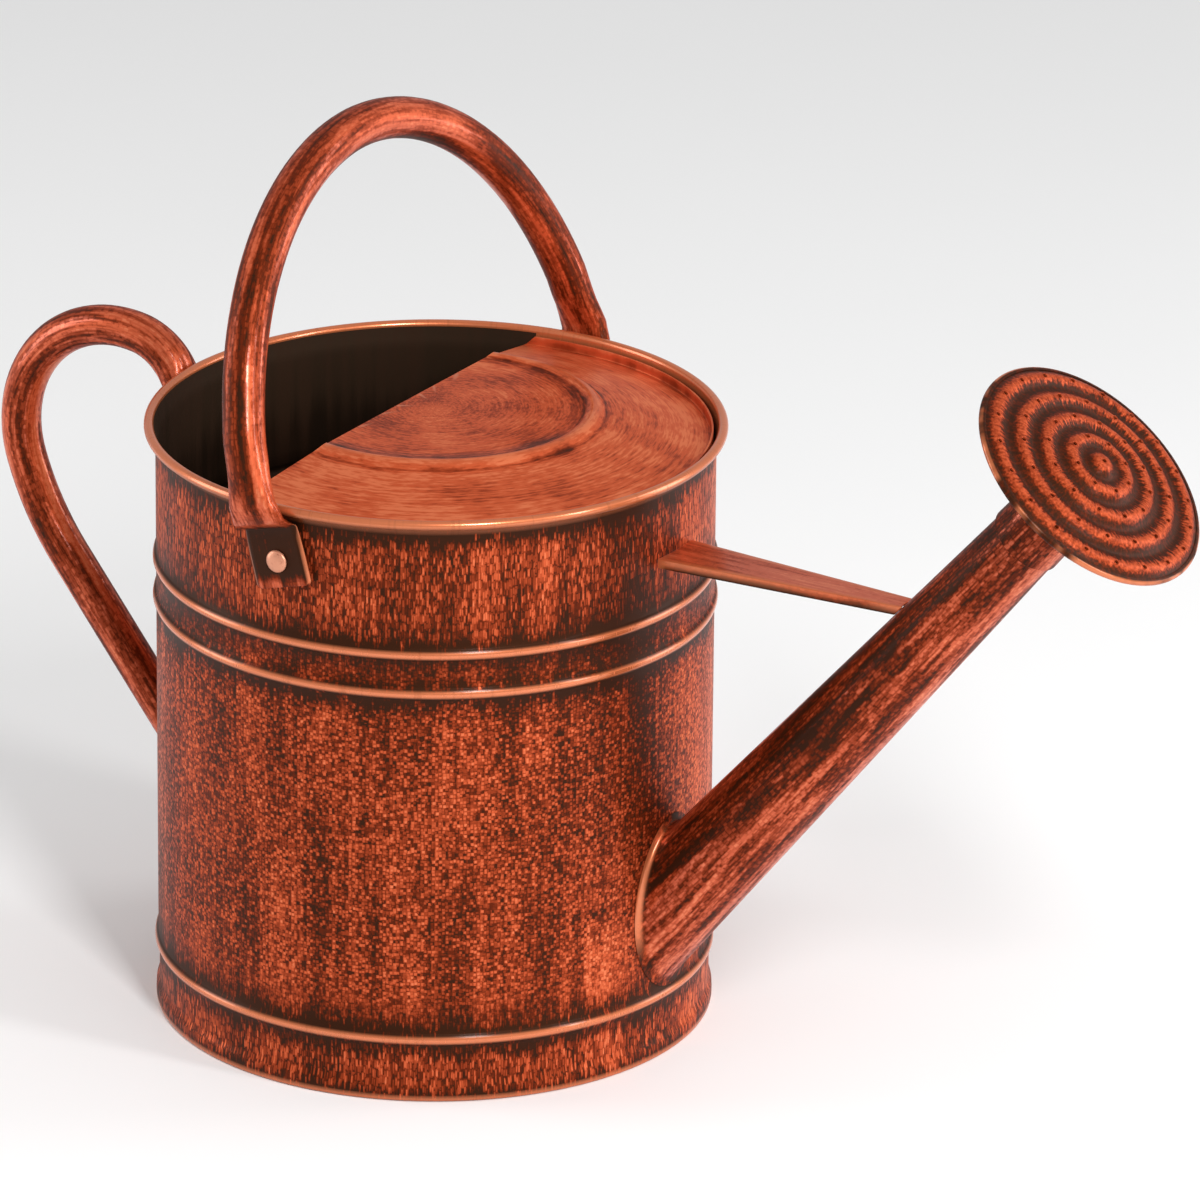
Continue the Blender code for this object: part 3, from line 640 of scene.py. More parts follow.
def rivet_paint():
    """Pale worn metal with fine scratches."""
    material, tree, shader = blank_material("Rivet Metal")
    colours = bpy.context.scene.copper_colours
    place = object_place(tree, PIVOT)
    scratches = noise(tree, stretched(tree, place, 0.0003, 0.0020), detail=3.0)
    spots = noise(tree, stretched(tree, place, 0.0012, 0.0012), detail=3.0)
    stained = spread(tree, spots, 0.56, 0.80, 0.0, 0.6)
    base = blend(tree, stained, (*colours.rivet, 1), (*colours.middle, 1))
    tree.links.new(base, shader.inputs["Base Color"])
    shader.inputs["Metallic"].default_value = 0.55
    tree.links.new(spread(tree, scratches, 0.3, 0.7, 0.28, 0.44), shader.inputs["Roughness"])
    relief(tree, shader, scratches, 0.15, 0.0001)
    return material


def wire_paint():
    """Drawn steel wire with a film of old oil."""
    material, tree, shader = blank_material("Rim Wire Steel")
    place = object_place(tree, BODY_AXIS)
    drawn = noise(tree, stretched(tree, place, 0.004, 0.0003), detail=3.0)
    film = noise(tree, stretched(tree, place, 0.006, 0.006), detail=3.0)
    base = blend(tree, spread(tree, film, 0.35, 0.65), (0.36, 0.35, 0.34, 1), (0.20, 0.15, 0.11, 1))
    tree.links.new(base, shader.inputs["Base Color"])
    shader.inputs["Metallic"].default_value = 1.0
    tree.links.new(spread(tree, drawn, 0.3, 0.7, 0.32, 0.50), shader.inputs["Roughness"])
    return material


def floor_paint():
    """Pale matte studio floor with a barely uneven tone."""
    material, tree, shader = blank_material("Studio Floor")
    tint = bpy.context.scene.studio.floor
    soft = noise(tree, object_place(tree), scale=3.0, detail=3.0)
    shade = tuple(channel * 0.97 for channel in tint)
    tree.links.new(blend(tree, soft, (*shade, 1), (*tint, 1)), shader.inputs["Base Color"])
    shader.inputs["Roughness"].default_value = 0.75
    return material


def bail_paint():
    return tube_paint("Bail Copper", lift=-0.12, contrast=0.90, fleck=0.26)


def rear_handle_paint():
    return tube_paint("Rear Handle Copper", lift=-0.02, fleck=0.28)


def spout_paint():
    return tube_paint("Spout Copper", ROSE_CENTRE, (0, SPOUT_TILT, 0), lift=-0.10, shaded=True)


def brace_paint():
    middle = BODY_AXIS + UP * BRACE_Z
    return tube_paint("Brace Copper", middle, (0, math.radians(90), 0), lift=0.20, contrast=0.55)


FINISHES = {
    "Wall Copper": wall_paint,
    "Inside Paint and Shade": inside_paint_and_shade,
    "Cover Copper": cover_paint,
    "Bail Copper": bail_paint,
    "Rear Handle Copper": rear_handle_paint,
    "Spout Copper": spout_paint,
    "Brace Copper": brace_paint,
    "Rose Copper": rose_paint,
    "Rivet Metal": rivet_paint,
    "Rim Wire Steel": wire_paint,
    "Studio Floor": floor_paint,
}


def finish(name):
    """The material of that name, made the first time a piece asks for it."""
    if "Antique Copper Paint" not in bpy.data.node_groups:
        make_flecks_group()
        make_streaks_group()
        make_around_group()
        make_paint_group(bpy.context.scene.copper_colours)
    return bpy.data.materials.get(name) or FINISHES[name]()


# Modelling by hand --------------------------------------------------------------------------------


def object_mode():
    if bpy.context.mode != "OBJECT":
        bpy.ops.object.mode_set(mode="OBJECT")


def clear_selection():
    object_mode()
    bpy.ops.object.select_all(action="DESELECT")


def named(piece, name):
    piece.name = name
    piece.data.name = name
    return piece


def make_active(piece):
    clear_selection()
    piece.select_set(True)
    bpy.context.view_layer.objects.active = piece


def start_line(name):
    """One vertex at the origin, in edit mode, ready to be drawn into a line."""
    clear_selection()
    bpy.ops.mesh.primitive_plane_add(size=0.002, location=(0, 0, 0))
    piece = named(bpy.context.object, name)
    bpy.ops.object.mode_set(mode="EDIT")
    bpy.ops.mesh.select_mode(type="VERT")
    bpy.ops.mesh.select_all(action="SELECT")
    bpy.ops.mesh.merge(type="CENTER")
    return piece


def draw_line(points):
    """Moves the single vertex to the first point and extrudes it through the others."""
    bpy.ops.transform.translate(value=points[0])
    for before, after in zip(points, points[1:]):
        bpy.ops.mesh.extrude_vertices_move(TRANSFORM_OT_translate={"value": after - before})


def pick(piece, test):
    """Selects the vertices that pass the test, with the edges and faces between them, in edit mode."""
    mesh = bmesh.from_edit_mesh(piece.data)
    for vertex in mesh.verts:
        vertex.select = False
    for face in mesh.faces:
        face.select = False
    for vertex in mesh.verts:
        vertex.select = bool(test(vertex.co))
    mesh.select_flush(True)
    bmesh.update_edit_mesh(piece.data)


def close_seams():
    """Merges doubles and turns all faces outwards."""
    bpy.ops.mesh.select_all(action="SELECT")
    bpy.ops.mesh.remove_doubles(threshold=1e-6)
    bpy.ops.mesh.normals_make_consistent(inside=False)


def spun(name, outline, origin, axis, start, steps):
    """A line of (distance from the axis, distance along it) spun into a surface of revolution."""
    piece = start_line(name)
    draw_line([origin + start * radius + axis * height for radius, height in outline])
    bpy.ops.mesh.select_all(action="SELECT")
    bpy.ops.mesh.spin(steps=steps, angle=math.tau, center=origin, axis=axis)
    close_seams()
    return piece


def turn_by(angle, axis_name, centre):
    """Turns the selection by the right-hand rule. Without a window the operator turns the other way."""
    bpy.ops.transform.rotate(value=-angle, orient_axis=axis_name, center_override=centre)


def apply_modifier(piece, kind, **settings):
    object_mode()
    bpy.context.view_layer.objects.active = piece
    modifier = piece.modifiers.new(kind.title(), kind)
    for key, value in settings.items():
        setattr(modifier, key, value)
    bpy.ops.object.modifier_apply(modifier=modifier.name)


def thicken(piece, thickness):
    even = {"use_even_offset": True, "use_quality_normals": True}
    apply_modifier(piece, "SOLIDIFY", thickness=thickness, offset=0, **even)


def smooth(piece, angle=35):
    make_active(piece)
    bpy.ops.object.shade_smooth_by_angle(angle=math.radians(angle))


def mark(piece, name, value_at):
    """Stores a number on each vertex, by its place."""
    values = [value_at(vertex.co) for vertex in piece.data.vertices]
    attribute = piece.data.attributes.new(name, "FLOAT", "POINT")
    attribute.data.foreach_set("value", values)


def move_by(piece, offset):
    """Moves the whole mesh of a piece, which stays at the origin."""
    make_active(piece)
    bpy.ops.object.mode_set(mode="EDIT")
    bpy.ops.mesh.select_all(action="SELECT")
    bpy.ops.transform.translate(value=offset)


def hand_over(piece, body, materials, node_name):
    """Gives a finished piece its materials and the body it rides on, and hides the node that it stands for.
    """
    object_mode()
    piece.data.materials.clear()
    for name in materials:
        piece.data.materials.append(finish(name))
    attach(piece, body)
    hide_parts(node_name)


def arc(centre, radius, start, turn, steps):
    angles = [start + turn * step / steps for step in range(steps + 1)]
    return [(centre[0] + radius * math.cos(a), centre[1] + radius * math.sin(a)) for a in angles]


def ease(value):
    value = min(max(value, 0), 1)
    return value * value * (3 - 2 * value)


def from_body_axis(place):
    return math.hypot(place.x - BODY_AXIS.x, place.y)


# Body, base and cover -----------------------------------------------------------------------------


def bead_points(centre_z, wall, sizes):
    """A rounded bead from foot to foot, easing out of the wall at both ends."""
    half = sizes.bead_width / 2
    points = []
    for step in range(13):
        share = step / 6 - 1
        rise = sizes.bead_depth * math.cos(share * math.pi / 2) ** 1.1
        points.append((wall + max(rise, 0), centre_z + half * share))
    return points


def wall_outline(sizes):
    wall = sizes.radius - SHEET / 2
    foot = sizes.foot_radius - SHEET / 2
    waist = wall - WAIST_DEPTH
    hem_z = SHEET / 2
    points = [(foot - HEM_WIDTH, hem_z), (foot - 0.0010, hem_z)]
    points += arc((foot - HEM_EDGE, hem_z + HEM_EDGE), HEM_EDGE, math.radians(-90), math.radians(90), 4)
    points += [(foot, 0.0026), (foot - 0.0001, FLARE_Z)]
    for step in range(1, 7):
        share = step / 6
        points.append((foot + (waist - foot) * ease(share), FLARE_Z + (WAIST_Z - FLARE_Z) * share))
    points += [(waist, 0.0140), (waist, 0.0190), (wall - WAIST_DEPTH * 0.4, 0.0208)]
    points += bead_points(sizes.low_bead, wall, sizes)
    points += [(wall, z / 1000) for z in range(34, 158, 8)]
    points += bead_points(sizes.pair_bead, wall, sizes)
    points += bead_points(sizes.top_bead, wall, sizes)
    points += [(wall, height) for height in (0.186, 0.195, 0.205, 0.215, 0.222, RIM_Z - 0.0048)]
    curl = CURL_RADIUS - SHEET / 2
    points += arc((RIM_REACH - CURL_RADIUS, RIM_Z), curl, math.radians(190), math.radians(-320), 28)
    return points


class CAN_OT_body(bpy.types.Operator):
    """Makes the rolled wall with its beads, flared foot and curled rim"""

    bl_idname = "watering_can.body"
    bl_label = "Body Wall"

    def execute(self, context):
        sizes = context.scene.can_body
        piece = spun("can_wall", wall_outline(sizes), BODY_AXIS, UP, AHEAD, BODY_STEPS)
        thicken(piece, SHEET)
        beads = (sizes.low_bead, sizes.pair_bead, sizes.top_bead)

        def crest_at(place):
            # On the curl the crest is worn copper, raised towards its top as a painted highlight.
            if place.z > RIM_Z - CURL_RADIUS - 0.0002:
                return 0.45 + 0.45 * ease((place.z - RIM_Z + 0.0012) / 0.0016)
            if place.z > 0.2262 and from_body_axis(place) < sizes.radius - SHEET * 0.5:
                return 0.55
            if place.z < 0.0016:
                return 0.7
            near = min(abs(place.z - bead) for bead in beads)
            return ease(1.25 - near / (sizes.bead_width * 0.30))

        mark(piece, "crest", crest_at)
        smooth(piece, 40)
        hand_over(piece, "can", ("Wall Copper", "Inside Paint and Shade"), "body_shell")
        for face in piece.data.polygons:
            centre = face.center
            outwards = face.normal.x * (centre.x - BODY_AXIS.x) + face.normal.y * centre.y
            inner = outwards < 0 and from_body_axis(centre) < sizes.radius - SHEET * 0.6 + sizes.bead_depth
            covered = centre.z > 0.226 and centre.x > BODY_AXIS.x - 0.020
            face.material_index = int(inner and 0.002 < centre.z < RIM_Z - CURL_RADIUS and not covered)
        return {"FINISHED"}


class CAN_OT_base(bpy.types.Operator):
    """Makes the dished bottom plate, set up inside the foot"""

    bl_idname = "watering_can.base"
    bl_label = "Base Plate"

    def execute(self, context):
        sizes = context.scene.can_body
        flange = sizes.radius - SHEET - WAIST_DEPTH - GAP - SHEET / 2
        outline = [(flange, height) for height in BASE_FLANGE]
        outline += arc((flange - 0.0016, BASE_Z - 0.0016), 0.0016, 0, math.radians(90), 6)
        outline += [(0.0950, BASE_Z), (0.0860, BASE_Z)]
        for step in range(6):
            share = step / 5
            outline.append((0.0790 - 0.0040 * share, BASE_Z + (BASE_DISH_Z - BASE_Z) * ease(share)))
        outline += [(radius, BASE_DISH_Z) for radius in (0.0600, 0.0400, 0.0200, 0)]
        piece = spun("can_base", outline, BODY_AXIS, UP, AHEAD, 96)
        thicken(piece, SHEET)
        smooth(piece)
        hand_over(piece, "can", ("Inside Paint and Shade",), "base_plate")
        return {"FINISHED"}


def cover_outline(sizes):
    edge = sizes.radius - SHEET - GAP - SHEET / 2 - 0.0002
    inner = sizes.ring_radius - RING_HALF_WIDTH
    outer = sizes.ring_radius + RING_HALF_WIDTH
    shoulder = sizes.cover_height - 0.0015
    points = [(edge, 0.2297), (edge, 0.2280), (edge, 0.2268)]
    points += arc((edge - 0.0010, 0.2268), 0.0010, 0, math.radians(-80), 5)[1:]
    for step in range(1, 15):
        share = step / 14
        radius = edge - 0.0012 + (outer - edge + 0.0012) * share
        points.append((radius, COVER_EDGE_Z + (shoulder - COVER_EDGE_Z) * share))
    for step in range(1, 13):
        share = step / 12
        slope = shoulder + (sizes.cover_height - shoulder) * share
        ring = RING_RISE * math.sin(share * math.pi) ** 1.2
        points.append((outer + (inner - outer) * share, slope + ring))
    for step in range(1, 9):
        share = step / 8
        points.append((inner * (1 - share), sizes.cover_height + 0.0003 * share))
    return points


class CAN_OT_cover(bpy.types.Operator):
    """Makes the half cover with its sloping ring, raised bead and leaning cut edge"""

    bl_idname = "watering_can.cover"
    bl_label = "Half Cover"

    def execute(self, context):
        sizes = context.scene.can_body
        piece = spun("half_cover", cover_outline(sizes), BODY_AXIS, UP, AHEAD, 144)
        cut = BODY_AXIS + Vector((COVER_CUT_X, 0, sizes.cover_height))
        bpy.ops.mesh.select_all(action="SELECT")
        bpy.ops.mesh.bisect(plane_co=cut, plane_no=(1, 0, -COVER_CUT_LEAN), clear_inner=True)
        thicken(piece, SHEET)
        inner = sizes.ring_radius - RING_HALF_WIDTH
        outer = sizes.ring_radius + RING_HALF_WIDTH
        edge = sizes.radius - 0.0022

        # Glaze and painted shade at the feet of the raised ring and in the corner at the wall.
        def recess_at(place):
            radius = from_body_axis(place)
            outer_foot = 1 - abs(radius - outer - 0.0008) / 0.0022
            inner_foot = 1 - abs(radius - inner + 0.0002) / 0.0018
            corner = 0.5 * ease(1 - abs(radius - edge) / 0.0020) if place.z < 0.2285 else 0
            return max(ease(outer_foot), ease(inner_foot), corner)

        def crest_at(place):
            radius = from_body_axis(place)
            near_cut = (place.x - cut.x) - COVER_CUT_LEAN * (place.z - cut.z)
            worn_cut = 0.9 if abs(near_cut) < 0.0003 else 0
            return max(ease(1 - abs(radius - sizes.ring_radius) / 0.0030) * 0.35, worn_cut)

        mark(piece, "recess", recess_at)
        mark(piece, "crest", crest_at)
        smooth(piece)
        hand_over(piece, "can", ("Cover Copper", "Inside Paint and Shade"), "top_cover")
        for face in piece.data.polygons:
            face.material_index = int(face.normal.z < -0.5)
        return {"FINISHED"}


# Tubes --------------------------------------------------------------------------------------------


class Station:
    """A ring of a tube: its middle, its heading above the horizontal axis, half sizes and how round it is."""

    def __init__(self, place, heading, thick, wide, roundness=1.0):
        self.place = Vector(place)
        self.heading = heading
        self.thick = thick
        self.wide = wide
        self.roundness = max(roundness, 0.03)


def select_only(piece, indices):
    mesh = bmesh.from_edit_mesh(piece.data)
    for vertex in mesh.verts:
        vertex.select = vertex.index in indices
    mesh.select_flush_mode()
    bmesh.update_edit_mesh(piece.data)


def press_faces(piece, centre, across, thick, factor):
    """Moves the middle of an upright ring's two faces towards their outer planes. Its edges stay round."""
    mesh = bmesh.from_edit_mesh(piece.data)
    mesh.verts.index_update()
    ring = {vertex.index: vertex.co[across] - centre[across] for vertex in mesh.verts if vertex.select}
    scale = [1.0, 1.0, 1.0]
    scale[across] = factor
    for side in (-1, 1):
        plane = centre.copy()
        plane[across] += side * thick
        select_only(piece, {index for index, depth in ring.items() if side * depth > FLAT_SHARE * thick})
        bpy.ops.transform.resize(value=scale, center_override=plane)
    select_only(piece, ring)


def shape_ring(piece, centre, across, old, new):
    """Gives an upright ring the new station's section in place of the old one's."""
    if old.roundness < 1:
        press_faces(piece, centre, across, old.thick, 1 / old.roundness)
    size = [1.0, 1.0, 1.0]
    size[across] = new.thick / old.thick
    size[1 - across] = new.wide / old.wide
    bpy.ops.transform.resize(value=size, center_override=centre)
    if new.roundness < 1:
        press_faces(piece, centre, across, new.thick, new.roundness)


def swept_tube(name, stations, across):
    """A closed tube extruded ring by ring. Its stations lie in the plane of one horizontal axis and Z."""
    axis_name = "YX"[across]
    sign = (-1, 1)[across]
    clear_selection()
    bpy.ops.mesh.primitive_circle_add(vertices=TUBE_SIDES, radius=1, fill_type="NGON", location=(0, 0, 0))
    piece = named(bpy.context.object, name)
    bpy.ops.object.mode_set(mode="EDIT")
    bpy.ops.mesh.select_mode(type="VERT")
    bpy.ops.mesh.select_all(action="SELECT")
    turn_by(math.pi / TUBE_SIDES, "Z", (0, 0, 0))
    bpy.ops.transform.translate(value=stations[0].place)
    shape_ring(piece, stations[0].place, across, Station((0, 0, 0), 0, 1, 1), stations[0])
    for before, after in zip(stations, stations[1:]):
        bpy.ops.mesh.extrude_region_move(TRANSFORM_OT_translate={"value": after.place - before.place})
        old_lean = sign * (before.heading - math.pi / 2)
        new_lean = sign * (after.heading - math.pi / 2)
        turn_by(-old_lean, axis_name, after.place)
        if (before.thick, before.wide, before.roundness) != (after.thick, after.wide, after.roundness):
            shape_ring(piece, after.place, across, before, after)
        turn_by(new_lean, axis_name, after.place)
    close_seams()
    object_mode()
    return piece


def store_unbent(piece, stations, across):
    """Stores each vertex's place on the tube as if the tube were straight, with its length along Z."""
    travelled = [0.0]
    for before, after in zip(stations, stations[1:]):
        travelled.append(travelled[-1] + (after.place - before.place).length)
    side = Vector((0, 1, 0)) if across == 0 else Vector((1, 0, 0))
    values = []
    for vertex in piece.data.vertices:
        near = min(range(len(stations)), key=lambda i: (vertex.co - stations[i].place).length_squared)
        heading = stations[near].heading
        normal = Vector((0, 0, math.cos(heading)))
        normal[across] = -math.sin(heading)
        offset = vertex.co - stations[near].place
        values += [offset.dot(normal), offset.dot(side), travelled[near]]
    attribute = piece.data.attributes.new("unbent", "FLOAT_VECTOR", "POINT")
    attribute.data.foreach_set("vector", values)


def leg_shapes(sizes):
    """The bail's leg from the tab's end to the arch: height, inner side, half sizes and roundness."""
    tab = TAB_THICKNESS / 2
    wide = TAB_WIDTH / 2
    tube = sizes.bail_tube
    share = 1 - (0.038 / sizes.bail_height) ** ARCH_HEIGHT_POWER
    round_side = sizes.bail_width * share ** (1 / ARCH_WIDTH_POWER) - tube * 0.98
    return [
        (-0.0102, TAB_INNER_Y + 0.0002, tab * 0.8, wide * 0.91, 0.0),
        (-0.0099, TAB_INNER_Y, tab, wide * 0.94, 0.0),
        (-0.0088, TAB_INNER_Y, tab, wide, 0.0),
        (-0.0040, TAB_INNER_Y, tab, wide, 0.0),
        (0.0020, TAB_INNER_Y, tab, wide, 0.0),
        (0.0080, TAB_INNER_Y, tab, wide * 0.98, 0.0),
        (0.0122, TAB_INNER_Y, tab, wide * 0.95, 0.0),
        (0.0131, TAB_INNER_Y + 0.0006, tab * 1.10, wide * 0.945, 0.04),
        (0.0140, TAB_INNER_Y + 0.0018, tab * 1.75, wide * 0.935, 0.16),
        (0.0152, TAB_INNER_Y + 0.0032, tab * 2.40, wide * 0.915, 0.32),
        (0.0168, RIM_CLEAR_Y, tab * 2.90, wide * 0.89, 0.45),
        (0.0200, RIM_CLEAR_Y, tab * 3.50, wide * 0.84, 0.60),
        (0.0240, RIM_CLEAR_Y, tab * 4.30, wide * 0.78, 0.75),
        (0.0290, RIM_CLEAR_Y - 0.0020, tab * 5.30, wide * 0.72, 0.90),
        (0.0335, RIM_CLEAR_Y - 0.0038, tube * 0.84, tube * 1.06, 1.0),
        (0.0380, round_side - 0.0006, tube * 0.96, tube * 1.02, 1.0),
    ]


def bail_stations(sizes):
    tube = sizes.bail_tube
    legs = leg_shapes(sizes)
    stations = []
    for height, inner, thick, wide, roundness in legs:
        stations.append(Station((0, -inner - thick, height), math.pi / 2, thick, wide, roundness))
    start = math.asin((ARCH_START / sizes.bail_height) ** (ARCH_HEIGHT_POWER / 2))
    for step in range(ARCH_STEPS + 1):
        angle = start + (math.pi - 2 * start) * step / ARCH_STEPS
        share = math.cos(angle)
        y = -sizes.bail_width * math.copysign(abs(share) ** (2 / ARCH_WIDTH_POWER), share)
        z = sizes.bail_height * math.sin(angle) ** (2 / ARCH_HEIGHT_POWER)
        outwards = ARCH_WIDTH_POWER * abs(y / sizes.bail_width) ** (ARCH_WIDTH_POWER - 1) / sizes.bail_width
        upwards = ARCH_HEIGHT_POWER * (z / sizes.bail_height) ** (ARCH_HEIGHT_POWER - 1) / sizes.bail_height
        heading = math.atan2(-math.copysign(outwards, y), upwards)
        stations.append(Station((0, y, z), heading, tube, tube))
    for height, inner, thick, wide, roundness in reversed(legs):
        stations.append(Station((0, inner + thick, height), -math.pi / 2, thick, wide, roundness))
    return stations


class CAN_OT_bail(bpy.types.Operator):
    """Makes the swinging bail: a bent tube with both ends flattened into tabs"""

    bl_idname = "watering_can.bail"
    bl_label = "Bail"

    def execute(self, context):
        sizes = context.scene.can_handles
        stations = bail_stations(sizes)
        piece = swept_tube("bail", stations, 1)
        store_unbent(piece, stations, 1)

        # Glaze and painted shade on the flattened tab below the step from the round tube.
        def recess_at(place):
            plate = ease((0.0136 - place.z) / 0.0012) if abs(place.y) > TAB_INNER_Y else 0
            return plate * ease((place.z + 0.0078) / 0.0026) * ease((0.0122 - abs(place.x)) / 0.0010)

        # Worn tab edges; the +X edge is brighter still as a painted highlight.
        def crest_at(place):
            if abs(place.y) < TAB_INNER_Y or place.z > 0.0200:
                return 0.0
            side = max(ease((place.x - 0.0112) / 0.0007), 0.4 * ease((-0.0114 - place.x) / 0.0005))
            return side * ease((0.0200 - place.z) / 0.0080)

        mark(piece, "recess", recess_at)
        mark(piece, "crest", crest_at)
        move_by(piece, PIVOT)
        turn_by(-sizes.bail_lean, "Y", PIVOT)
        smooth(piece, 50)
        hand_over(piece, "bail", ("Bail Copper",), "bail_handle")
        return {"FINISHED"}


def rear_stations(sizes):
    """Straight up from the wall, three bends over, and back down under the rim."""
    wall_x = -(bpy.context.scene.can_body.radius + GAP + TAB_THICKNESS / 2)
    low_tangent = REAR_LOW_FILLET * math.tan(REAR_RISE / 2)
    place = Vector((wall_x, 0, REAR_LOW_Z - low_tangent - REAR_TAB_LENGTH))
    heading = math.pi / 2
    path = []

    def straight(reach, steps):
        nonlocal place
        along = Vector((math.cos(heading), 0, math.sin(heading)))
        path.extend((place + along * reach * step / steps, heading) for step in range(steps))
        place = place + along * reach

    def bend(radius, turn, steps):
        """A positive turn is clockwise, seen with X to the right and Z up."""
        nonlocal place, heading
        side = math.copysign(1, turn)
        first = heading
        centre = place + Vector((math.sin(first), 0, -math.cos(first))) * radius * side
        for step in range(steps + 1):
            heading = first - turn * step / steps
            place = centre - Vector((math.sin(heading), 0, -math.cos(heading))) * radius * side
            if step < steps:
                path.append((place, heading))

    straight(REAR_TAB_LENGTH, 5)
    bend(REAR_LOW_FILLET, -REAR_RISE, 8)
    straight(REAR_RUN - low_tangent, 12)
    for (radius, turn), steps in zip(REAR_BENDS, (8, 36, 12)):
        bend(radius, turn, steps)
    turn_down = heading + math.pi / 2
    tangent = REAR_TOP_FILLET * math.tan(turn_down / 2)
    straight((wall_x - place.x) / math.cos(heading) - tangent, 4)
    bend(REAR_TOP_FILLET, turn_down, 8)
    straight(REAR_TAB_LENGTH, 5)
    path.append((place, heading))

    travelled = [0.0]
    for (before, _), (after, _) in zip(path, path[1:]):
        travelled.append(travelled[-1] + (after - before).length)
    stations = []
    for (spot, turned), along in zip(path, travelled):
        from_end = min(along, travelled[-1] - along)
        roundness = ease((from_end - REAR_TAB_LENGTH) / FLATTEN_LENGTH)
        thick = TAB_THICKNESS / 2 + (sizes.rear_tube - TAB_THICKNESS / 2) * roundness
        wide = TAB_WIDTH / 2 + (sizes.rear_tube - TAB_WIDTH / 2) * roundness
        if from_end < 1e-6:
            wide *= 0.86
        stations.append(Station(spot, turned, thick, wide, roundness))
    return stations


class CAN_OT_rear_handle(bpy.types.Operator):
    """Makes the bent tube handle behind the body, with its ends flattened against the wall"""

    bl_idname = "watering_can.rear_handle"
    bl_label = "Rear Handle"

    def execute(self, context):
        stations = rear_stations(context.scene.can_handles)
        piece = swept_tube("rear_handle_tube", stations, 0)
        store_unbent(piece, stations, 0)
        low = stations[0].place.z + REAR_TAB_LENGTH
        high = stations[-1].place.z + REAR_TAB_LENGTH

        def at_tab(place):
            return place.x > -0.1085 and (place.z < low + 0.004 or high - 0.004 > place.z > 0.15)

        mark(piece, "recess", lambda place: 0.7 if at_tab(place) else 0.0)
        mark(piece, "crest", lambda place: ease((abs(place.y) - 0.0108) / 0.0012) if at_tab(place) else 0.0)
        move_by(piece, BODY_AXIS)
        smooth(piece, 50)
        hand_over(piece, "can", ("Rear Handle Copper",), "rear_handle")
        return {"FINISHED"}


# Rivets -------------------------------------------------------------------------------------------


def rivet_outline(sizes):
    """From the clinched end inside the wall along the shank to the domed head: (radius, distance out)."""
    inner = bpy.context.scene.can_body.radius - SHEET - 0.0020
    head = TAB_INNER_Y + TAB_THICKNESS + 0.0001
    points = [(0, inner - 0.0014)]
    points += [(0.0033 * math.sin(a), inner - 0.0014 * math.cos(a)) for a in (0.4, 0.8, 1.2, 1.57)]
    points += [(0.0022, inner + 0.0001), (0.0022, head), (sizes.rivet_head - 0.0002, head)]
    points += [(sizes.rivet_head, head + 0.0002), (sizes.rivet_head, head + 0.0005)]
    for step in range(1, 9):
        angle = math.pi / 2 * step / 8
        points.append((sizes.rivet_head * math.cos(angle), head + 0.0005 + 0.0014 * math.sin(angle)))
    return points


class CAN_OT_rivets(bpy.types.Operator):
    """Makes the two domed rivets that the bail turns on, and the burr washers inside the wall"""

    bl_idname = "watering_can.rivets"
    bl_label = "Rivets and Washers"

    def execute(self, context):
        sizes = context.scene.can_handles
        wall = context.scene.can_body.radius - SHEET
        top = wall * math.cos(math.pi / 40) - GAP
        under = top - WASHER_THICKNESS
        washer = [(0.0026, under), (0.0050, under), (0.0055, under + 0.0003), (0.0055, top), (0.0026, top)]
        washer.append(washer[0])
        for side, word in ((-1, "right"), (1, "left")):
            out = Vector((0, side, 0))
            for name, outline, node_name in (
                ("rivet", rivet_outline(sizes), f"bail_rivet_{word}"),
                ("burr_washer", washer, f"bail_washer_{word}"),
            ):
                piece = spun(f"{name}_{word}", outline, PIVOT, out, AHEAD, 40)
                smooth(piece)
                hand_over(piece, "can", ("Rivet Metal",), node_name)
        return {"FINISHED"}


# Spout and brace ----------------------------------------------------------------------------------


def spout_radius(back):
    """Outer radius of the spout at a distance behind the rose's middle."""
    sizes = bpy.context.scene.can_spout
    return sizes.tip_radius + sizes.taper * back


def spout_point(back, angle, extra):
    """A place round the spout, a little outside its surface. The angle starts from its upper side."""
    out = Vector((0, 1, 0)) * math.sin(angle) - ACROSS_SPOUT * math.cos(angle)
    return ROSE_CENTRE - SPOUT_AXIS * back + out * (spout_radius(back) + extra)


def back_to_wall(angle, extra, wall):
    """How far behind the rose a line along the spout's side meets the round wall."""
    near, far = 0.15, 0.32
    for _ in range(40):
        middle = (near + far) / 2
        if from_body_axis(spout_point(middle, angle, extra)) > wall:
            near = middle
        else:
            far = middle
    return far


def lofted(name, rings):
    """A closed band of rings, extruded one from the other, with each ring's points set on their own curve."""
    count = len(rings[0])
    clear_selection()
    bpy.ops.mesh.primitive_circle_add(vertices=count, radius=1, fill_type="NOTHING", location=(0, 0, 0))
    piece = named(bpy.context.object, name)
    bpy.ops.object.mode_set(mode="EDIT")
    bpy.ops.mesh.select_mode(type="VERT")
    bpy.ops.mesh.select_all(action="SELECT")
    mesh = bmesh.from_edit_mesh(piece.data)
    layer = mesh.verts.layers.int.new("slot")
    for index, vertex in enumerate(mesh.verts):
        vertex[layer] = index
        vertex.co = rings[0][index]
    bmesh.update_edit_mesh(piece.data)
    for ring in rings[1:] + rings[:1]:
        bpy.ops.mesh.extrude_region_move(TRANSFORM_OT_translate={"value": (0, 0, 0)})
        mesh = bmesh.from_edit_mesh(piece.data)
        layer = mesh.verts.layers.int["slot"]
        for vertex in mesh.verts:
            if vertex.select:
                vertex.co = ring[vertex[layer]]
        bmesh.update_edit_mesh(piece.data)
    close_seams()
    object_mode()
    return piece


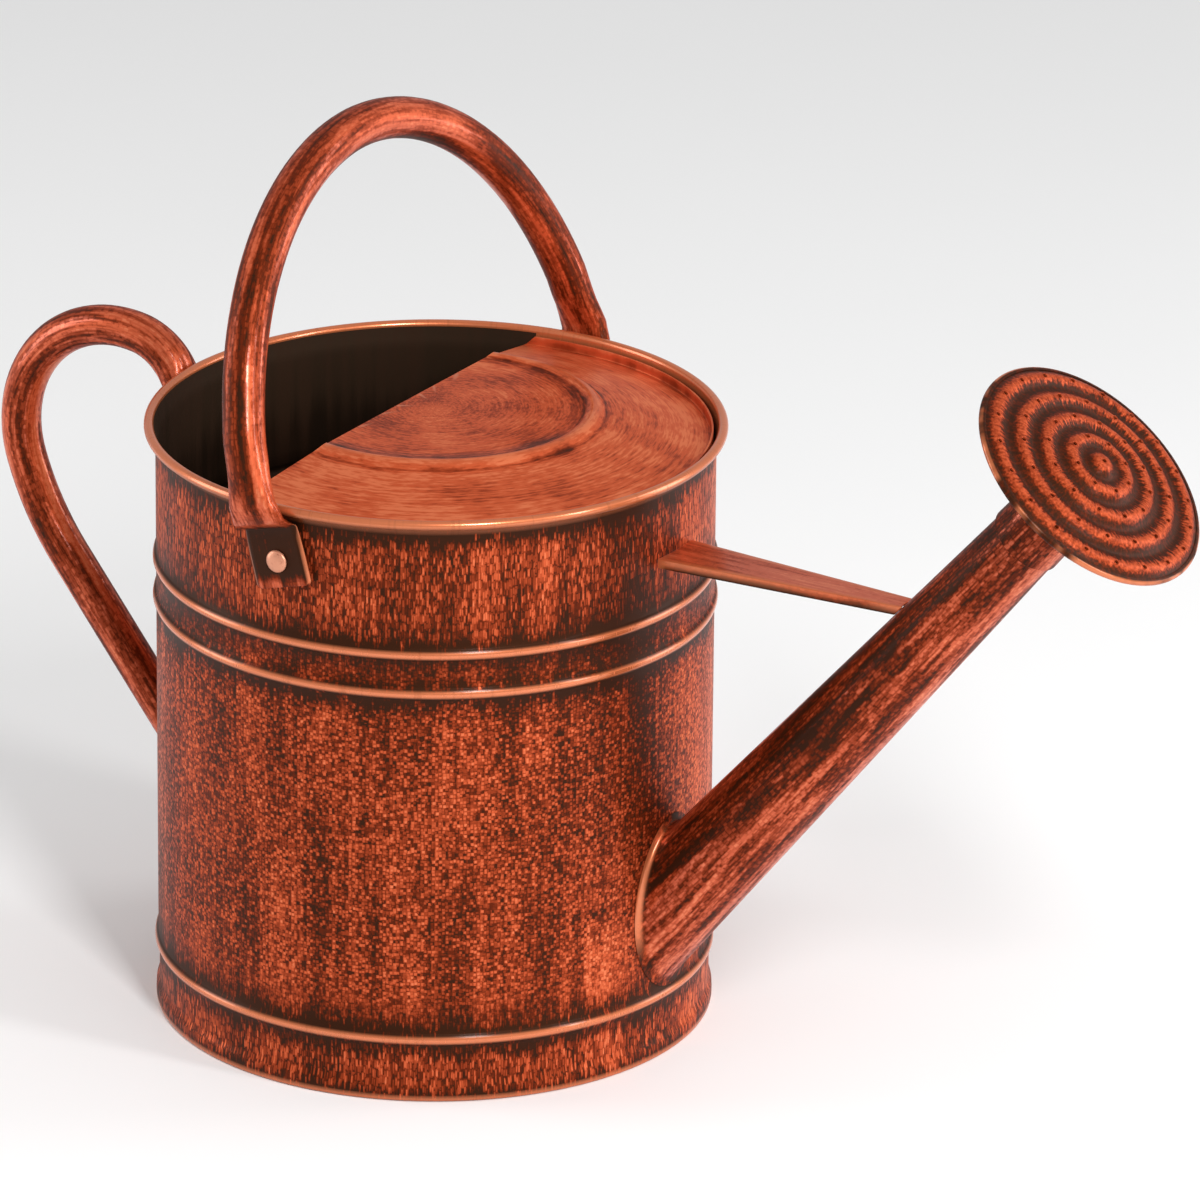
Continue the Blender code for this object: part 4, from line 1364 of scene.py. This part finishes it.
def spout_rings():
    """Rings from the rolled tip down the outside, round the fillet at the wall, and back up the bore."""
    wall = bpy.context.scene.can_body.radius + GAP
    angles = [math.tau * i / SPOUT_SIDES for i in range(SPOUT_SIDES)]

    def at(back, extra):
        return [spout_point(back, a, extra) for a in angles]

    straight = SPOUT_TIP + 0.0004
    rings = [at(SPOUT_TIP, -SHEET * 0.5), at(SPOUT_TIP + 0.0001, -SHEET * 0.12), at(straight, 0)]
    rings += [at(straight + 0.2150 * step / 24, 0) for step in range(1, 25)]
    widths = [FILLET_FOOT + (FILLET_TOP - FILLET_FOOT) * (1 + math.cos(a)) / 2 for a in angles]
    for step in range(11):
        swing = math.pi / 2 * step / 10
        ring = []
        for angle, wide in zip(angles, widths):
            extra = wide * (1 - math.cos(swing)) ** 1.15
            rise = FILLET_LENGTH * (1 - math.sin(swing)) ** 1.15
            ring.append(spout_point(back_to_wall(angle, extra, wall) - rise, angle, extra))
        rings.append(ring)
    rings.append([spout_point(back_to_wall(a, -SHEET, wall), a, -SHEET) for a in angles])
    rings += [at(0.2200 + (straight - 0.2200) * step / 12, -SHEET) for step in range(13)]
    return rings


class CAN_OT_spout(bpy.types.Operator):
    """Makes the tapered spout with the fillet of solder that hugs the wall"""

    bl_idname = "watering_can.spout"
    bl_label = "Spout"

    def execute(self, context):
        piece = lofted("spout", spout_rings())

        def from_wall(place):
            return from_body_axis(place) - context.scene.can_body.radius

        def outside(place):
            offset = place - ROSE_CENTRE
            back = -offset.dot(SPOUT_AXIS)
            return (offset + SPOUT_AXIS * back).length - spout_radius(back)

        # Painted highlight: a thin bright line along the fillet's lip on its upper -Y side, carried by the
        # crest mark.
        def lip_highlight_at(place):
            if from_wall(place) > 0.012:
                return 0.0
            upper = ease((place.z - 0.042) / 0.016)
            return upper * ease((0.0024 - from_wall(place)) / 0.0012) * ease((-0.004 - place.y) / 0.010)

        def crest_at(place):
            return ease(outside(place) / 0.0012) * lip_highlight_at(place)

        def recess_at(place):
            if from_wall(place) > 0.012:
                return 0.0
            return 0.45 * ease(outside(place) / 0.0006) * (1 - lip_highlight_at(place))

        mark(piece, "recess", recess_at)
        mark(piece, "crest", crest_at)
        smooth(piece, 50)
        hand_over(piece, "can", ("Spout Copper",), "spout_tube")
        return {"FINISHED"}


def spout_front(y, z):
    """Where a line along X at this place meets the spout's upper side, less a gap."""
    on_axis = ROSE_CENTRE.x - (ROSE_CENTRE.z - z) * SPOUT_AXIS.x / SPOUT_AXIS.z
    near, far = BODY_AXIS.x + 0.12, on_axis
    for _ in range(40):
        middle = (near + far) / 2
        offset = Vector((middle, y, z)) - ROSE_CENTRE
        back = -offset.dot(SPOUT_AXIS)
        if (offset + SPOUT_AXIS * back).length > spout_radius(back) + GAP:
            near = middle
        else:
            far = middle
    return near


class CAN_OT_brace(bpy.types.Operator):
    """Makes the tapered channel that holds the spout to the body, with both edges turned down"""

    bl_idname = "watering_can.brace"
    bl_label = "Spout Brace"

    def execute(self, context):
        sizes = context.scene.can_spout
        wall = context.scene.can_body.radius + GAP
        clear_selection()
        bpy.ops.mesh.primitive_grid_add(x_subdivisions=28, y_subdivisions=8, size=1, location=(0.5, 0, 0))
        piece = named(bpy.context.object, "spout_brace_channel")
        bpy.ops.object.transform_apply(location=True, rotation=False, scale=False)
        bpy.ops.object.mode_set(mode="EDIT")
        bpy.ops.mesh.select_mode(type="VERT")
        pick(piece, lambda place: abs(place.y) > 0.499)
        bpy.ops.mesh.extrude_region_move(TRANSFORM_OT_translate={"value": (0, 0, -1)})
        mesh = bmesh.from_edit_mesh(piece.data)
        for vertex in mesh.verts:
            share, across, drop = vertex.co.x, vertex.co.y, -vertex.co.z
            z = BRACE_Z - SHEET / 2 - drop * (sizes.brace_flange - SHEET / 2)
            foot_y = across * (sizes.brace_foot - SHEET)
            tip_y = across * (sizes.brace_tip - SHEET)
            foot_x = BODY_AXIS.x + math.sqrt(wall**2 - foot_y**2)
            tip_x = spout_front(tip_y, z)
            vertex.co = (foot_x + (tip_x - foot_x) * share, foot_y + (tip_y - foot_y) * share, z)
        bmesh.update_edit_mesh(piece.data)
        close_seams()
        thicken(piece, SHEET)
        apply_modifier(piece, "BEVEL", width=0.0004, segments=3, angle_limit=math.radians(50))

        def edge_at(place):
            share = min(max((place.x - BODY_AXIS.x - wall) / BRACE_LENGTH, 0), 1)
            return (sizes.brace_foot + (sizes.brace_tip - sizes.brace_foot) * share) / 2 - abs(place.y)

        def crest_at(place):
            folded = 0.85 * ease(1 - abs(edge_at(place)) / 0.0016) if place.z > BRACE_Z - 0.0011 else 0.0
            # Lighter copper where the brace meets the wall, on its -Y side only.
            foot_minus_y = ease((0.004 - (from_body_axis(place) - wall)) / 0.003) * ease((-0.006 - place.y) / 0.004)
            return max(folded, foot_minus_y)

        mark(piece, "crest", crest_at)
        # Painted shade on the turned-down flanges.
        mark(piece, "recess", lambda p: ease((BRACE_Z - 0.0010 - p.z) / 0.0008))
        smooth(piece)
        hand_over(piece, "can", ("Brace Copper",), "spout_brace")
        return {"FINISHED"}


# Rose ---------------------------------------------------------------------------------------------


def hole_places():
    """The distance of each hole from the rose's middle, and its direction."""
    side = SPOUT_AXIS.cross(ACROSS_SPOUT)
    for ring, (count, first) in enumerate(ROSE_HOLES):
        radius = FIRST_RIDGE + RIDGE_PITCH * ring if ring else 0
        for index in range(count):
            angle = math.radians(first) + math.tau * index / count
            yield radius, ACROSS_SPOUT * math.cos(angle) + side * math.sin(angle)


def rose_height(radius, sizes):
    """Height of the face above its rim. The middle is as flat as the first ridge's inner side."""
    radius = max(radius, FIRST_RIDGE * 0.7)
    wave = math.cos(math.tau * (radius - FIRST_RIDGE) / RIDGE_PITCH)
    return sizes.rose_rise - sizes.rose_slope * radius + sizes.ridge_depth * wave


def copied_to(first, places):
    """Copies a small shape to each place, each copy with its own mesh, and takes the first one away."""
    copies = []
    for place in places:
        copy = first.copy()
        copy.data = first.data.copy()
        bpy.context.scene.collection.objects.link(copy)
        copy.location = place
        copies.append(copy)
    bpy.data.objects.remove(first)
    return copies


def joined(pieces):
    """Joins the pieces into the last of them."""
    make_active(pieces[-1])
    for piece in pieces:
        piece.select_set(True)
    bpy.ops.object.join()
    return bpy.context.object


def drill_holes(piece, sizes):
    """Cuts a round hole through the face at each hole's place."""
    turn = SPOUT_AXIS.to_track_quat("Z", "Y").to_euler()
    clear_selection()
    bpy.ops.mesh.primitive_cylinder_add(
        vertices=14, radius=sizes.hole_radius, depth=0.02, location=(0, 0, 0), rotation=turn
    )
    bpy.ops.object.transform_apply(location=True, rotation=True)
    places = [ROSE_CENTRE + out * radius + SPOUT_AXIS * 0.002 for radius, out in hole_places()]
    drill = joined(copied_to(bpy.context.object, places))
    apply_modifier(piece, "BOOLEAN", operation="DIFFERENCE", solver="EXACT", object=drill)
    bpy.data.objects.remove(drill)


def raise_burrs(piece, sizes):
    """Adds the small raised ring that the drill left round each hole."""
    clear_selection()
    bpy.ops.mesh.primitive_torus_add(
        major_segments=14,
        minor_segments=5,
        major_radius=sizes.hole_radius + 0.00008,
        minor_radius=BURR_RADIUS,
        location=(0, 0, 0),
        rotation=SPOUT_AXIS.to_track_quat("Z", "Y").to_euler(),
    )
    bpy.ops.object.transform_apply(location=True, rotation=True)
    places = []
    for radius, out in hole_places():
        height = rose_height(radius, sizes) + ROSE_SHEET / 2 + 0.00004
        places.append(ROSE_CENTRE + out * radius + SPOUT_AXIS * height)
    joined([*copied_to(bpy.context.object, places), piece])


def face_outline(sizes):
    """The ridged face from its middle out, and the lip that wraps round the back's edge."""
    reach = FIRST_RIDGE + RIDGE_PITCH * 4.45
    radii = [reach * step / 72 for step in range(73)]
    outline = [(radius, rose_height(radius, sizes)) for radius in radii]
    lip = sizes.rose_radius - ROSE_SHEET / 2
    outline.append((lip - 0.0012, 0.0001))
    outline += arc((lip - 0.0011, -0.0010), 0.0011, math.radians(80), math.radians(-170), 9)
    outline.append((lip - 0.0024, -0.0024))
    return outline


def back_outline(sizes):
    """The cone behind the face, down to the collar that holds the neck."""
    collar = spout_radius(0.0225) + GAP + NECK_SHEET + GAP + ROSE_SHEET / 2
    edge = sizes.rose_radius - 0.0044
    outline = [(edge + 0.0028, -0.0011), (edge + 0.0004, -0.0013)]
    for step in range(1, 11):
        share = step / 10
        outline.append((edge + (collar + 0.0014 - edge) * share, -0.0015 - 0.0170 * share**0.94))
    outline += [(collar + 0.0005, -0.0194), (collar, -0.0204), (collar, -0.0248)]
    return outline


def neck_outline():
    """The sleeve that slips over the spout, with its lower edge rounded."""
    foot = spout_radius(NECK_FOOT) + GAP
    top = spout_radius(NECK_TOP) + GAP
    outline = [(foot + NECK_SHEET, 0.0002 - NECK_FOOT), (foot + NECK_SHEET / 2, -NECK_FOOT)]
    outline += [(foot, 0.0002 - NECK_FOOT), (top, -NECK_TOP), (top + NECK_SHEET, -NECK_TOP)]
    outline.append(outline[0])
    return outline


class CAN_OT_rose(bpy.types.Operator):
    """Makes the sprinkler rose: ridged and drilled face, cone back and slip-on neck"""

    bl_idname = "watering_can.rose"
    bl_label = "Sprinkler Rose"

    def execute(self, context):
        sizes = context.scene.can_spout
        face = spun("rose_face_sheet", face_outline(sizes), ROSE_CENTRE, SPOUT_AXIS, ACROSS_SPOUT, ROSE_STEPS)
        thicken(face, ROSE_SHEET)
        drill_holes(face, sizes)
        raise_burrs(face, sizes)
        smooth(face, 40)
        hand_over(face, "rose", ("Rose Copper",), "rose_face")

        back = spun("rose_back_cone", back_outline(sizes), ROSE_CENTRE, SPOUT_AXIS, ACROSS_SPOUT, ROSE_STEPS)
        thicken(back, ROSE_SHEET)
        neck = spun("rose_neck_sleeve", neck_outline(), ROSE_CENTRE, SPOUT_AXIS, ACROSS_SPOUT, 96)
        for piece, node_name in ((back, "rose_back"), (neck, "rose_neck")):
            smooth(piece, 40)
            hand_over(piece, "rose", ("Spout Copper",), node_name)
        return {"FINISHED"}


# Stage --------------------------------------------------------------------------------------------


def softbox(name, place, aim, size, watts):
    """A soft rectangular light, aimed at a point."""
    light = bpy.data.lights.new(name, "AREA")
    light.shape = "RECTANGLE"
    light.size, light.size_y = size
    light.energy = watts
    lamp = bpy.data.objects.new(name, light)
    bpy.context.scene.collection.objects.link(lamp)
    lamp.location = place
    lamp.rotation_euler = (aim - place).to_track_quat("-Z", "Y").to_euler()


def lay_floor():
    clear_selection()
    bpy.ops.mesh.primitive_circle_add(vertices=96, radius=4, fill_type="NGON", location=(0, 0, -0.0002))
    floor = named(bpy.context.object, "studio_floor")
    bpy.ops.object.mode_set(mode="EDIT")
    bpy.ops.mesh.select_all(action="SELECT")
    bpy.ops.mesh.inset(thickness=0.5)
    object_mode()
    bpy.ops.object.transform_apply(location=True)
    floor.data.materials.append(finish("Studio Floor"))


def light_studio(studio, right, level):
    """The even light all round, and four softboxes placed as the camera sees the can."""
    world = bpy.data.worlds.new("Studio Air")
    world.use_nodes = True
    air = world.node_tree.nodes["Background"].inputs
    air["Color"].default_value = (1.0, 1.0, 1.0, 1)
    air["Strength"].default_value = studio.sky
    bpy.context.scene.world = world
    bpy.context.scene.view_settings.view_transform = "Standard"

    aim = BODY_AXIS + UP * 0.14

    def beside(sideways, height, nearer):
        return aim + right * sideways + level * nearer + UP * height

    softbox("key_softbox", beside(0.55, 1.25, 1.6), aim, (0.32, 0.7), studio.key_power)
    softbox("left_softbox", beside(-1.7, 0.5, -0.1), aim, (0.7, 1.4), studio.edge_power)
    softbox("right_softbox", beside(1.8, 0.5, -0.3), aim, (0.6, 1.4), studio.edge_power)
    softbox("strip_softbox", beside(1.5, 0.8, 0.9), aim, (0.22, 1.1), studio.strip_power)


def set_camera(right, back):
    lens = bpy.data.cameras.new("camera")
    lens.lens = CAMERA_LENS
    lens.sensor_width = 36
    camera = bpy.data.objects.new("camera", lens)
    bpy.context.scene.collection.objects.link(camera)
    rolled = right * math.cos(CAMERA_ROLL) + back.cross(right) * math.sin(CAMERA_ROLL)
    turned = Matrix((rolled, back.cross(rolled), back)).transposed()
    camera.matrix_world = Matrix.Translation(CAMERA_TARGET + back * CAMERA_DISTANCE) @ turned.to_4x4()
    bpy.context.scene.camera = camera


class CAN_OT_stage(bpy.types.Operator):
    """Sets up the pale floor, the softboxes, the even light all round and the camera"""

    bl_idname = "watering_can.stage"
    bl_label = "Studio"

    def execute(self, context):
        right = Vector((math.cos(CAMERA_TURN), math.sin(CAMERA_TURN), 0))
        level = Vector((math.sin(CAMERA_TURN), -math.cos(CAMERA_TURN), 0))
        back = level * math.cos(CAMERA_RISE) + UP * math.sin(CAMERA_RISE)
        lay_floor()
        light_studio(context.scene.studio, right, level)
        set_camera(right, back)
        return {"FINISHED"}


# Panel and registration ---------------------------------------------------------------------------

MAKERS = (
    CAN_OT_body,
    CAN_OT_base,
    CAN_OT_cover,
    CAN_OT_bail,
    CAN_OT_rivets,
    CAN_OT_rear_handle,
    CAN_OT_spout,
    CAN_OT_brace,
    CAN_OT_rose,
    CAN_OT_stage,
)
GROUPS = {
    "can_body": CanBodySizes,
    "can_handles": HandleSizes,
    "can_spout": SpoutSizes,
    "copper_colours": CopperColours,
    "studio": StudioSettings,
}


class CAN_PT_panel(bpy.types.Panel):
    """Lists the watering can's pieces in the sidebar"""

    bl_idname = "CAN_PT_panel"
    bl_label = "Watering Can"
    bl_space_type = "VIEW_3D"
    bl_region_type = "UI"
    bl_category = "Watering Can"

    def draw(self, context):
        for maker in MAKERS:
            self.layout.operator(maker.bl_idname)
        for group in GROUPS:
            box = self.layout.box()
            owner = getattr(context.scene, group)
            for key in owner.__annotations__:
                box.prop(owner, key)


def register():
    for kind in (*GROUPS.values(), *MAKERS, CAN_PT_panel):
        bpy.utils.register_class(kind)
    for name, kind in GROUPS.items():
        setattr(bpy.types.Scene, name, PointerProperty(type=kind))


def unregister():
    for name in GROUPS:
        delattr(bpy.types.Scene, name)
    for kind in (CAN_PT_panel, *reversed(MAKERS), *reversed(GROUPS.values())):
        bpy.utils.unregister_class(kind)


def main():
    register()
    for slot in frame["nodes"]["rim_wire"].material_slots:
        slot.material = finish("Rim Wire Steel")
    bpy.ops.watering_can.body()
    bpy.ops.watering_can.base()
    bpy.ops.watering_can.cover()
    bpy.ops.watering_can.bail()
    bpy.ops.watering_can.rivets()
    bpy.ops.watering_can.rear_handle()
    bpy.ops.watering_can.spout()
    bpy.ops.watering_can.brace()
    bpy.ops.watering_can.rose()
    bpy.ops.watering_can.stage()


if __name__ == "__main__":
    main()
